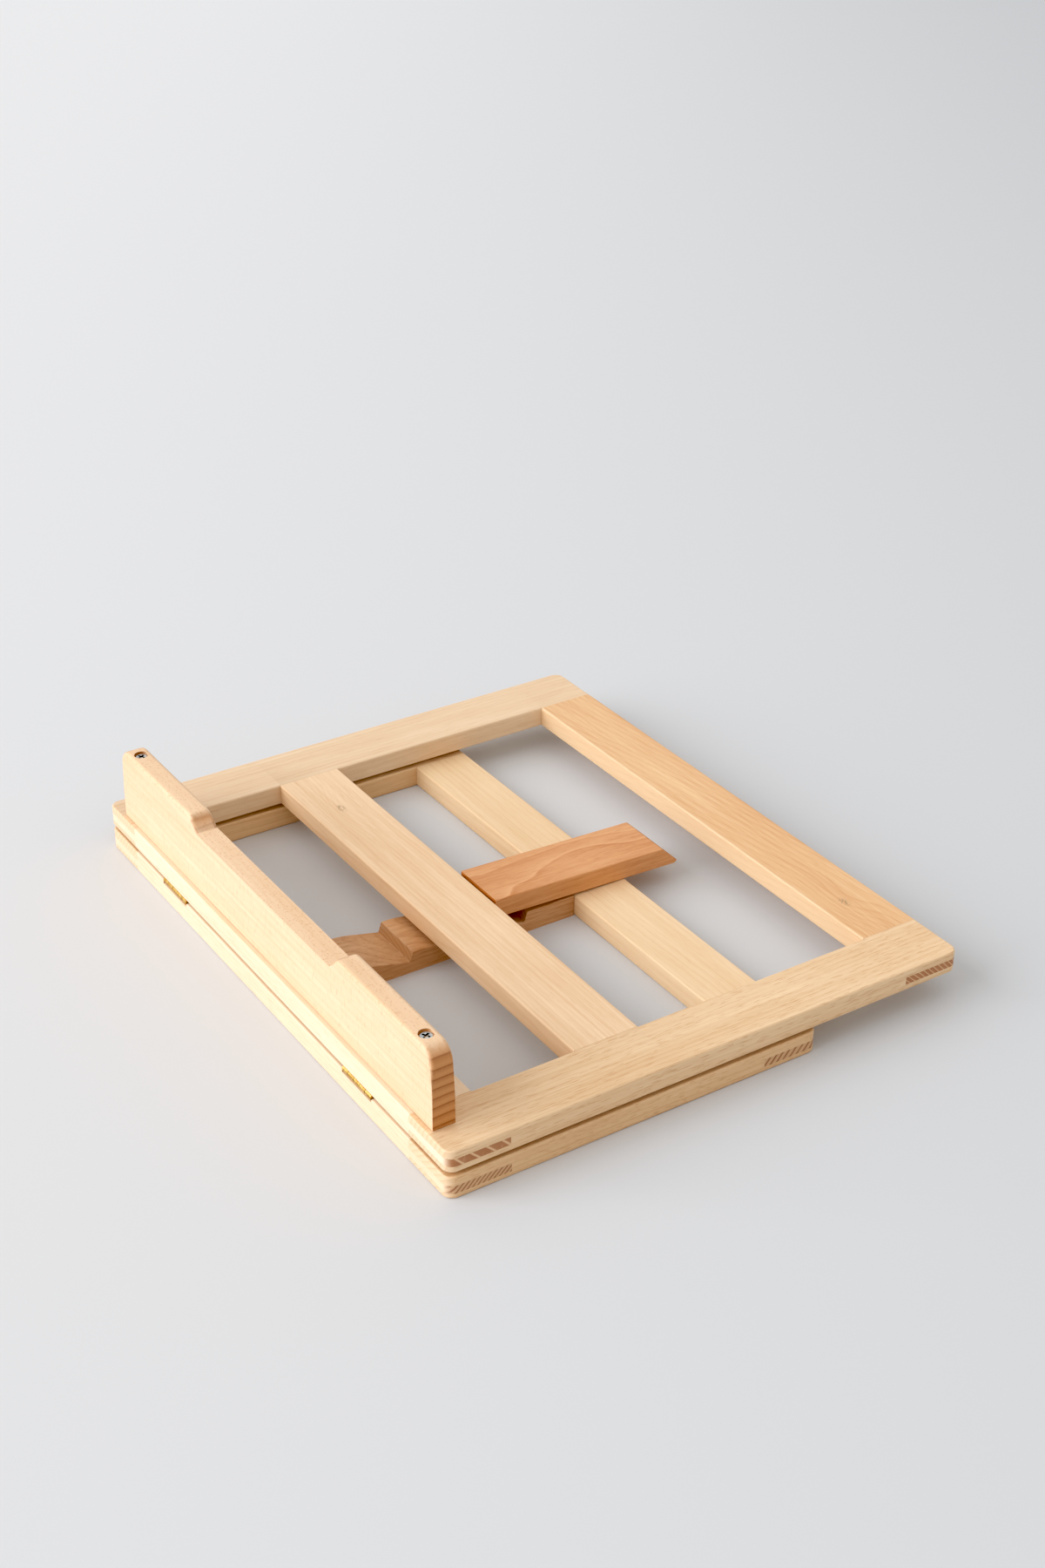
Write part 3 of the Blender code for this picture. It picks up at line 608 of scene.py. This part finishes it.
# %% Rails
def rail_shape(node, stile, outer_side, tenon):
    """The bmesh of one rail; `outer_side` is -1 on the hinge side and 1 at the far edge."""
    low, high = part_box(node)
    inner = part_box(stile)[0][0] - SEAM
    outer = high[0]
    under = low[2] + tenon[0]
    over = low[2] + tenon[1]
    corners = [
        (-inner, low[2]), (inner, low[2]), (inner, under), (outer, under),
        (outer, over), (inner, over), (inner, high[2]),
        (-inner, high[2]), (-inner, over), (-outer, over), (-outer, under), (-inner, under),
    ]
    bm = prism(corners, "Y", low[1], high[1])
    edge_y = low[1] if outer_side < 0 else high[1]

    def upright_corner(a, b):
        at_tip = same(abs(a.x), outer) and same(abs(b.x), outer)
        return at_tip and same(a.y, edge_y) and same(b.y, edge_y)

    soften(bm, edges_where(bm, upright_corner), CORNER_ROUND, CORNER_STEPS)

    def long_edge(a, b):
        level = same(a.z, b.z) and (same(a.z, low[2]) or same(a.z, high[2]))
        return level and same(a.y, b.y)

    soften(bm, edges_where(bm, long_edge), EASED, EASED_STEPS)
    return bm


print("leaf tenons are", round((LEAF_TENON[1] - LEAF_TENON[0]) * 1000, 1), "mm thick")

# %% Barrel recess
BARREL_ROOM = 0.0039      # depth of the recess from the front face
BARREL_SINK = 0.0019      # and down from the top face
BARREL_SLACK = 0.0003     # room beyond each end of the barrel
RECESS_WALL = 0.00006     # how far the recess's walls lean, which makes them almost upright
HAIR = 1e-6               # the slack for places along the recess


def barrel_recess(bm, node, plate):
    """Lowers the front top edge of a rail where a hinge's barrel lies."""
    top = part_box(node)[1][2]
    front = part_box(node)[0][1]
    low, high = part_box(plate)
    first = low[0] - BARREL_SLACK
    last = high[0] + BARREL_SLACK
    for x in (first - RECESS_WALL, first, last, last + RECESS_WALL):
        cut_at(bm, "X", x)
    cut_at(bm, "Y", front + BARREL_ROOM)
    cut_at(bm, "Y", front + BARREL_ROOM + RECESS_WALL)
    sunk = []
    for vert in bm.verts:
        inside = first - HAIR <= vert.co.x <= last + HAIR
        inside = inside and vert.co.y <= front + BARREL_ROOM + HAIR
        if inside and vert.co.z > top - EASED - HAIR:
            sunk.append(vert)
    for vert in sunk:
        vert.co.z = top - BARREL_SINK
    print("recess of", round(last - first, 4), "m for", plate)


print("a barrel sinks", BARREL_SINK * 1000, "mm into its rail")

# %% [markdown]
# The tenons' ends are the darkest spots of the frames. On the leaf they show broad blocks of late
# wood, on the base finer strokes. The top rail alone holds a strip of redder heartwood, with a knot.

# %% Make the rails of the leaf
TENON_ENDS = (shade(224, 184, 144), shade(170, 114, 76))

pale_front = beech(
    "beech bottom rail", "X", (-0.40, -0.235), shade(243, 221, 194), shade(228, 196, 158),
    figure=0.6, fleck=0.25, ring=0.0061, seed=2.2, ends=TENON_ENDS, end_rings=BLOCK_RINGS,
)
bm = rail_shape("leaf_bottom_rail", "leaf_right_stile", -1, LEAF_TENON)
finish_board(bm, "leaf_bottom_rail", "leaf", "X", pale_front)

HEART = (shade(236, 196, 150), shade(210, 154, 104))
heart_top = beech(
    "beech top rail", "X", (-0.02, -0.13), shade(234, 202, 164), shade(220, 184, 142),
    lines=1.2, ring=0.0034, tilt=0.16, seed=6.6, knot=(0.143, 0.128), wave=0.7, fleck=0.25,
    heart=(HEART, 0.1272, 0.1292), ends=TENON_ENDS, end_rings=BLOCK_RINGS, end_ring=0.0024,
)
bm = rail_shape("leaf_top_rail", "leaf_right_stile", 1, LEAF_TENON)
finish_board(bm, "leaf_top_rail", "leaf", "X", heart_top)

# %% Make the rails of the base
DARK_ENDS = (shade(214, 174, 134), shade(158, 106, 72))

base_front = beech(
    "beech hinge rail", "X", (0.05, -0.20), shade(242, 219, 191), shade(226, 192, 154),
    figure=0.6, fleck=0.25, ring=0.0024, seed=9.2, ends=DARK_ENDS, end_rings=STROKE_RINGS,
)
bm = rail_shape("base_hinge_rail", "base_right_stile", -1, BASE_TENON)
for plate in ("left_hinge_base_plate", "right_hinge_base_plate"):
    barrel_recess(bm, "base_hinge_rail", plate)
finish_board(bm, "base_hinge_rail", "base", "X", base_front)

base_back = beech(
    "beech back rail", "X", (0.32, -0.20), shade(242, 213, 175), shade(222, 182, 136),
    figure=0.7, fleck=0.15, seed=4.7, ends=DARK_ENDS, end_rings=STROKE_RINGS,
)
bm = rail_shape("base_back_rail", "base_right_stile", 1, BASE_TENON)
finish_board(bm, "base_back_rail", "base", "X", base_back)

# %% [markdown]
# ## Middle rail
# Its tenons stay inside the stiles, so what shows is a plain board between them. It is a pale
# board, with straight grain and one small pin knot near the left stile.

# %% Middle rail
low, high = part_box("leaf_middle_rail")
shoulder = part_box("leaf_right_stile")[0][0] - SEAM
corners = [(low[1], low[2]), (high[1], low[2]), (high[1], high[2]), (low[1], high[2])]
bm = prism(corners, "X", -shoulder, shoulder)
lengthwise = edges_where(bm, lambda a, b: same(a.y, b.y) and same(a.z, b.z))
soften(bm, lengthwise, EASED, EASED_STEPS)
middle = beech(
    "beech middle rail", "X", (-0.36, -0.02), shade(243, 212, 176), shade(220, 178, 134),
    figure=0.7, lines=1.25, ring=0.0028, seed=7.5, knot=(-0.048, -0.118), wave=0.7, fleck=0.18,
)
finish_board(bm, "leaf_middle_rail", "leaf", "X", middle)

# %% [markdown]
# ## Notched bar
# The bar in the base has stop notches: a long slope leads down to a nearly upright wall, which
# holds the tip of the prop leg. Seen from the side that is one outline. The corners of the outline
# are then rounded one kind at a time: wide where the slope begins, tight at the wall.

# %% Notched bar
NOTCH_WALLS = (0.0862, 0.1244, 0.1627)    # from the hinge side of the leaf to each upright wall
NOTCH_DEPTH = 0.0063
NOTCH_LEAN = 0.0021
NOTCH_RAMP = 0.0260

low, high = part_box("notched_bar")
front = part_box("base_hinge_rail")[1][1] + SEAM
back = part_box("base_back_rail")[0][1] - SEAM
hinge_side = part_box("leaf_right_stile")[0][1]
top = high[2]
corners = [(front, low[2]), (back, low[2]), (back, top)]
for wall in reversed(NOTCH_WALLS):
    y = hinge_side + wall
    corners.append((y, top))
    corners.append((y - NOTCH_LEAN, top - NOTCH_DEPTH))
    corners.append((y - NOTCH_LEAN - NOTCH_RAMP, top))
corners.append((front, top))
bm = prism(corners, "X", low[0], high[0])
print("notches at y", [round(hinge_side + wall, 4) for wall in NOTCH_WALLS])

# %% Soften the notched bar
SLOPE_ROUND = 0.007
WALL_ROUND = 0.0007
FOOT_ROUND = 0.0006
RIM_ROUND = 0.0005
END_ROOM = 0.001       # the bar's two ends stay square
UNDER_ROOM = 0.004     # so do the long edges on its underside


def crosswise(a, b):
    return same(a.y, b.y) and same(a.z, b.z)


def cross_edge(a, b):
    return crosswise(a, b) and front + END_ROOM < a.y < back - END_ROOM


wall_tops = [hinge_side + wall for wall in NOTCH_WALLS]
slope_tops = [y - NOTCH_LEAN - NOTCH_RAMP for y in wall_tops]
for places, width, segments in ((slope_tops, SLOPE_ROUND, 6), (wall_tops, WALL_ROUND, 3)):
    chosen = edges_where(
        bm, lambda a, b: cross_edge(a, b) and any(same(a.y, y) for y in places), 5
    )
    soften(bm, chosen, width, segments)
feet = edges_where(bm, lambda a, b: cross_edge(a, b) and same(a.z, top - NOTCH_DEPTH), 5)
soften(bm, feet, FOOT_ROUND, 3)
rims = edges_where(bm, lambda a, b: same(a.x, b.x) and max(a.z, b.z) > low[2] + UNDER_ROOM, 60)
soften(bm, rims, RIM_ROUND, 2)
brown = beech(
    "beech notched bar", "Y", (-0.012, -0.052), shade(222, 176, 134), shade(180, 124, 80),
    figure=1.3, ring=0.0024, seed=1.1, wave=1.3, fleck=0.4,
)
finish_board(bm, "notched_bar", "base", "Y", brown)

# %% [markdown]
# ## Ledge
# The ledge is a board on edge. Its ends stand higher than its middle, with a slanted step between,
# and the raised parts have rounder edges than the low middle, as a router leaves them. The screws
# sit at the bottom of short round pockets. To make a round pocket in a flat face, a square of it is
# cut free, its sides are divided, and a circle is bridged to it.

# %% Ledge
DIP_HALF = 0.07825
DIP_LEAN = 0.0072
DIP_DEPTH = 0.0084

low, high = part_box("ledge")
half = high[0]
dip_top = high[2] - DIP_DEPTH
corners = [
    (-half, low[2]), (half, low[2]), (half, high[2]),
    (DIP_HALF + DIP_LEAN, high[2]), (DIP_HALF, dip_top),
    (-DIP_HALF, dip_top), (-DIP_HALF - DIP_LEAN, high[2]), (-half, high[2]),
]
bm = prism(corners, "Y", low[1], high[1])
print("the ledge dips by", DIP_DEPTH * 1000, "mm over", round(2000 * DIP_HALF, 1), "mm")

# %% Soften the ledge
END_ROUND = 0.0105
STEP_ROUND = 0.0032
RAISED_ROUND = 0.0022
PLAIN_ROUND = 0.0006
CORNER_TOP = 0.009     # the plain upright corners stay below this, down from the top


def through(a, b):
    return same(a.x, b.x) and same(a.z, b.z)


for place, width, segments in ((half, END_ROUND, 10), (DIP_HALF + DIP_LEAN, STEP_ROUND, 6)):
    chosen = edges_where(
        bm, lambda a, b: through(a, b) and same(abs(a.x), place) and same(a.z, high[2])
    )
    soften(bm, chosen, width, segments)


def on_face(a, b):
    return same(a.y, b.y) and (same(a.y, low[1]) or same(a.y, high[1]))


def in_dip(a, b):
    return same(a.z, dip_top) and same(b.z, dip_top)


def raised(a, b):
    over = min(a.z, b.z) > high[2] - END_ROUND - SLACK
    return on_face(a, b) and over and not in_dip(a, b)


soften(bm, edges_where(bm, raised, 60), RAISED_ROUND, 5)


def plain(a, b):
    at_end = same(abs(a.x), half) and same(abs(b.x), half)
    upright = at_end and max(a.z, b.z) < high[2] - CORNER_TOP
    return on_face(a, b) and (in_dip(a, b) or upright)


soften(bm, edges_where(bm, plain, 60), PLAIN_ROUND, 3)
print("the ledge has", len(bm.faces), "faces before its pockets")

# %% Circles
def circle_rim(bm, segments, radius, centre):
    """The edges of a new, open circle that lies flat."""
    made = bmesh.ops.create_circle(
        bm, cap_ends=False, segments=segments, radius=radius, matrix=Matrix.Translation(centre)
    )
    return list({edge for vert in made["verts"] for edge in vert.link_edges})


print("circles are made as open rims of edges")

# %% Screw pockets
POCKET_RADIUS = 0.0042
POCKET_SQUARE = 0.00432
POCKET_CUTS = 7
POCKET_STEPS = 4 * (POCKET_CUTS + 1)    # as many as the square's divided sides have edges
POCKET_FLOOR = 0.0007                   # the floor lies this far under the screw's top

middle_y = (low[1] + high[1]) / 2
for node in ("ledge_screw_left", "ledge_screw_right"):
    screw_low, screw_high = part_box(node)
    x = (screw_low[0] + screw_high[0]) / 2
    for side in (-POCKET_SQUARE, POCKET_SQUARE):
        cut_at(bm, "X", x + side)
    for side in (-POCKET_SQUARE, POCKET_SQUARE):
        cut_at(bm, "Y", middle_y + side)
    centre = Vector((x, middle_y, high[2]))

    def from_centre(face):
        return (face.calc_center_median() - centre).length

    bmesh.ops.subdivide_edges(bm, edges=list(min(bm.faces, key=from_centre).edges), cuts=POCKET_CUTS)
    lid = min(bm.faces, key=from_centre)
    square = list(lid.edges)
    bmesh.ops.delete(bm, geom=[lid], context="FACES_ONLY")
    rim = circle_rim(bm, POCKET_STEPS, POCKET_RADIUS, centre)
    bmesh.ops.bridge_loops(bm, edges=square + rim)
    wall = bmesh.ops.extrude_edge_only(bm, edges=rim)["geom"]
    drop = screw_high[2] - POCKET_FLOOR - high[2]
    bmesh.ops.translate(bm, verts=only(bmesh.types.BMVert, wall), vec=(0.0, 0.0, drop))
    bmesh.ops.contextual_create(bm, geom=only(bmesh.types.BMEdge, wall))
    print(node, "pocket at x", round(x, 4), "from a lid of", len(square), "edges")

# %% Finish the ledge
ledge_wood = beech(
    "beech ledge", "X", (-0.148, -0.16), shade(243, 212, 178), shade(219, 175, 131),
    figure=0.35, ring=0.0056, seed=3.9, fleck=0.46, size=(900.0, 130.0, 640.0), wave=0.6,
    ends=(shade(206, 148, 98), shade(154, 94, 52)),
)
finish_board(bm, "ledge", "leaf", "X", ledge_wood)

# %% [markdown]
# ## Prop leg
# The leg is the reddest piece, cut nearer the heart of the tree. At rest it droops a little, from
# its hinge axis at the middle rail to where it leans on the base, so it is made straight first and
# then turned about that axis. Its tip is bevelled at a little under 45 degrees to a blunt nose.

# %% Prop leg
swing = next(joint for joint in frame["joints"] if joint["name"] == "prop_swing")
PIVOT = Vector(swing["pos_m"])
low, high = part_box("prop_leg")
PROP_SEAT = 0.0013          # from the hinge axis up to the leg's underside
PROP_THICKNESS = 0.0124
PROP_BEVEL = 0.0116         # how far the bevel runs back from the tip
PROP_NOSE = 0.0018          # how high the blunt nose is
PROP_HEEL = 0.0016          # and how far it slants under the leg
PROP_START = 0.0006         # from the hinge axis to the leg's butt end
PROP_AIR = 0.0003           # between the leg and the back rail
back_rail_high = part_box("base_back_rail")[1]
lean_drop = PIVOT.z + PROP_SEAT - back_rail_high[2] - PROP_AIR
lean_run = back_rail_high[1] - PIVOT.y
DROOP = math.atan2(lean_drop, lean_run)
reach = (high[1] - PIVOT.y) / math.cos(DROOP) - math.sin(DROOP) * (PROP_SEAT + PROP_NOSE)

under = PIVOT.z + PROP_SEAT
over = under + PROP_THICKNESS
start = PIVOT.y + PROP_START
tip = PIVOT.y + reach
corners = [
    (start, under), (tip - PROP_HEEL, under), (tip, under + PROP_NOSE),
    (tip - PROP_BEVEL, over), (start, over),
]
bm = prism(corners, "X", low[0], high[0])
print("the leg droops by", round(math.degrees(DROOP), 2), "degrees")

# %% Soften the prop leg
NOSE_ROUND = 0.0007
RIDGE_ROUND = 0.0009
SIDE_ROUND = 0.0007
NOSE_LENGTH = 0.003

nose = edges_where(bm, lambda a, b: crosswise(a, b) and a.y > tip - NOSE_LENGTH, 5)
soften(bm, nose, NOSE_ROUND, 3)
ridge = edges_where(bm, lambda a, b: crosswise(a, b) and same(a.y, tip - PROP_BEVEL), 5)
soften(bm, ridge, RIDGE_ROUND, 4)
sides = edges_where(bm, lambda a, b: same(a.x, b.x), 60)
soften(bm, sides, SIDE_ROUND, 3)
bmesh.ops.rotate(bm, verts=bm.verts, cent=PIVOT, matrix=Matrix.Rotation(-DROOP, 3, "X"))
russet = beech(
    "beech prop leg", "Y", (0.022, -0.034), shade(229, 173, 124), shade(190, 118, 66),
    figure=0.8, ring=0.0052, seed=5.8, wave=2.6, fleck=0.3, pale=0.9,
    ends=(shade(196, 124, 70), shade(160, 92, 48)),
)
finish_board(bm, "prop_leg", "prop", "Y", russet)

# %% [markdown]
# ## Metal
# The brass knuckles and the zinc-plated screws are shop hardware: rolled and tumbled, and finely
# scratched. Both finishes are the same recipe with other numbers: a metal whose tone and roughness
# drift with noise, a faint bump, and painted shade on faces marked as shaded.

# %% Metal finishes
def metal(name, bright, dull, rough):
    finish = Graph(name)
    place = finish.node("ShaderNodeTexCoord", output=3)
    drift = finish.noise(place, 420.0, 3.0, 0.6)
    stretched = finish.vector("MULTIPLY", place, (400.0, 5200.0, 5200.0))
    scratch = finish.noise(stretched, 1.0, 2.0, 0.6)
    hollow = finish.node("ShaderNodeAttribute", {"attribute_name": "hollow"}, output=2)
    colour = finish.mix(finish.rise(drift, 0.35, 0.7), bright, dull)
    # painted shade: faces marked for it get a near-black copy of the dull colour
    colour = finish.mix(hollow, colour, darker(dull, 0.18))
    roughness = (drift - 0.5) * 0.25 + (scratch - 0.5) * 0.18 + rough
    return finish.surface({
        "Base Color": colour, "Metallic": 1.0, "Roughness": roughness,
        "Normal": finish.bump(0.12, 0.0001, scratch * 0.5 + drift),
    })


brass = metal("brass", shade(232, 194, 116), shade(186, 140, 70), 0.34)
zinc = metal("zinc", shade(226, 231, 233), shade(196, 202, 206), 0.44)
print("finishes:", brass.name, "and", zinc.name)

# %% [markdown]
# The hinges' plates, pins and small screws are good as the frame has them, so they keep their
# meshes and only get a finish.

# %% Hinge finishes
for name, node in frame["nodes"].items():
    if "hinge" not in name or name == "base_hinge_rail":
        continue
    for material_slot in node.material_slots:
        material_slot.material = zinc if "_screw" in name else brass
    print(name, "is", node.material_slots[0].material.name)

# %% [markdown]
# ## Ledge screws
# A countersunk screw head is a thin disc with a cross cut in it. The cross is a plus-shaped loop
# bridged to the disc's rim, then pushed down and drawn in so its floor is smaller than its mouth.
# Its faces are marked for painted shade, which the metal draws near-black, as a deep cross collects
# no light.
# The rounded rim, the cone below it and the shank are the same outer loop, drawn out four times.

# %% Cross recess
CROSS_ARM = 0.00235       # half the length of the cross
CROSS_SLOT = 0.00066      # half the width of its arms
CROSS_DEPTH = 0.0018
CROSS_TAPER = 0.78        # its floor against its mouth
FACE_SHARE = 0.93         # the flat face against the whole head


def cross_recess(bm, hollow, radius):
    """A flat head with a cross sunk into it; gives the edges of its rim."""
    arm = CROSS_ARM
    slot = CROSS_SLOT
    plus = [
        (arm, -slot), (arm, slot), (slot, slot), (slot, arm), (-slot, arm), (-slot, slot),
        (-arm, slot), (-arm, -slot), (-slot, -slot), (-slot, -arm), (slot, -arm), (slot, -slot),
    ]
    cross = bm.faces.new([bm.verts.new((x, y, 0.0)) for x, y in plus])
    bmesh.ops.subdivide_edges(bm, edges=list(cross.edges), cuts=2)
    cross = max(bm.faces, key=lambda face: face.calc_area())
    mouth = list(cross.edges)
    bmesh.ops.delete(bm, geom=[cross], context="FACES_ONLY")
    rim = circle_rim(bm, len(mouth), radius * FACE_SHARE, (0.0, 0.0, 0.0))
    bmesh.ops.bridge_loops(bm, edges=mouth + rim)
    wall = bmesh.ops.extrude_edge_only(bm, edges=mouth)["geom"]
    moved = only(bmesh.types.BMVert, wall)
    bmesh.ops.scale(bm, verts=moved, vec=(CROSS_TAPER, CROSS_TAPER, 1.0))
    bmesh.ops.translate(bm, verts=moved, vec=(0.0, 0.0, -CROSS_DEPTH))
    bottom = bmesh.ops.contextual_create(bm, geom=only(bmesh.types.BMEdge, wall))["faces"]
    # the cross's walls and floor are marked for painted shade
    for face in [*bottom, *only(bmesh.types.BMFace, wall)]:
        face[hollow] = 1.0
    return rim


print("the cross is", CROSS_DEPTH * 1000, "mm deep")

# %% Ledge screws
HEAD_PROUD = 0.0005       # the head sits a little above the cone's seat
HEAD_TURN = 0.5           # how far the cross is turned, in radians
# the share of the head's radius and the drop below its face, from the rim to the cone's end
HEAD_SIDES = ((1.0, -0.0003), (0.98, -0.0005), (0.52, -0.0024))
SHANK_SHARE = 0.50


def screw_head(node):
    """A ledge screw in the place of its node."""
    low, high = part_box(node)
    centre = Vector(((low[0] + high[0]) / 2, (low[1] + high[1]) / 2, high[2] + HEAD_PROUD))
    radius = (high[0] - low[0]) / 2
    bm = bmesh.new()
    # this layer marks the faces that get painted shade
    hollow = bm.faces.layers.float.new("hollow")
    edges = cross_recess(bm, hollow, radius)
    for share, drop in (*HEAD_SIDES, (SHANK_SHARE, low[2] - high[2] - HEAD_PROUD)):
        skirt = bmesh.ops.extrude_edge_only(bm, edges=edges)["geom"]
        fresh = only(bmesh.types.BMVert, skirt)
        edges = only(bmesh.types.BMEdge, skirt)
        grow = share * radius / max(vert.co.xy.length for vert in fresh)
        bmesh.ops.scale(bm, verts=fresh, vec=(grow, grow, 1.0))
        bmesh.ops.translate(bm, verts=fresh, vec=(0.0, 0.0, drop - fresh[0].co.z))
    bmesh.ops.contextual_create(bm, geom=edges)
    turn = Matrix.Rotation(HEAD_TURN, 3, "Z")
    bmesh.ops.rotate(bm, verts=bm.verts, cent=(0, 0, 0), matrix=turn)
    bmesh.ops.translate(bm, verts=bm.verts, vec=centre)
    bmesh.ops.recalc_face_normals(bm, faces=bm.faces)
    mesh = bpy.data.meshes.new(node + "_metal")
    bm.to_mesh(mesh)
    bm.free()
    mesh.shade_smooth()
    mesh.set_sharp_from_angle(angle=math.radians(40))
    mesh.materials.append(zinc)
    piece = bpy.data.objects.new(node + "_metal", mesh)
    bpy.context.scene.collection.objects.link(piece)
    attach(piece, "leaf")
    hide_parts(node)
    print(node, "head radius", round(radius, 4))


for node in ("ledge_screw_left", "ledge_screw_right"):
    screw_head(node)

# %% [markdown]
# ## Floor and light
# The easel stands on a seamless pale sheet, whose colour is painted darker away from the light, as a
# painted falloff of light. One large soft light comes from the hinge side and a little from the
# left, so the faces towards it nearly burn out, while a bright surround keeps the shadows open.

# %% Floor
FLOOR_HALF = 14.0
# the sheet's colour is painted darker along this way, a painted falloff of light
PAINTED_FALLOFF_WAY = (0.544, 0.839, 0.0)    # the sheet darkens this way, roughly away from the light

floor_bm = bmesh.new()
bmesh.ops.create_grid(floor_bm, x_segments=1, y_segments=1, size=FLOOR_HALF)
floor_mesh = bpy.data.meshes.new("floor")
floor_bm.to_mesh(floor_mesh)
floor_bm.free()
floor = bpy.data.objects.new("floor", floor_mesh)
bpy.context.scene.collection.objects.link(floor)
paper = Graph("pale sheet")
where = paper.node("ShaderNodeTexCoord", output=3)
away = paper.vector("DOT_PRODUCT", where, PAINTED_FALLOFF_WAY).other(1)
# painted falloff of light: the sheet's colour darkens away from the light
painted_falloff = paper.rise(away, -0.9, 1.7)
tooth = paper.noise(where, 900.0)
paper.surface({
    "Base Color": paper.mix(painted_falloff, shade(221, 221, 222), shade(177, 179, 182)),
    "Roughness": 0.85, "Normal": paper.bump(0.05, 0.0003, tooth),
})
floor_mesh.materials.append(paper.owner)
print("floor", floor.dimensions.x, "m wide")

# %% Light
sky = Graph("studio", bpy.data.worlds)
soft = {"Color": (0.985, 0.975, 0.955, 1.0), "Strength": 0.825}
sky.node("ShaderNodeOutputWorld", {}, [sky.node("ShaderNodeBackground", {}, soft)])
bpy.context.scene.world = sky.owner

key_data = bpy.data.lights.new("key", "SUN")
key_data.energy = 2.75
key_data.angle = math.radians(55)
key_data.color = (0.94, 0.975, 1.03)
key = bpy.data.objects.new("key", key_data)
bpy.context.scene.collection.objects.link(key)
key_from = Vector((-0.26, -0.90, 0.42))
key.rotation_euler = key_from.to_track_quat("Z", "Y").to_euler()
print("key light stands", round(math.degrees(math.asin(key_from.normalized().z))), "degrees up")

# %% [markdown]
# The colours are shown plainly, with the deepest tones drawn a little deeper, as in a print.

# %% View
BLACK_LEVEL = 0.032

view = bpy.context.scene.view_settings
view.view_transform = "Standard"
view.use_curve_mapping = True
view.curve_mapping.black_level = (BLACK_LEVEL, BLACK_LEVEL, BLACK_LEVEL)
print("black level", BLACK_LEVEL)
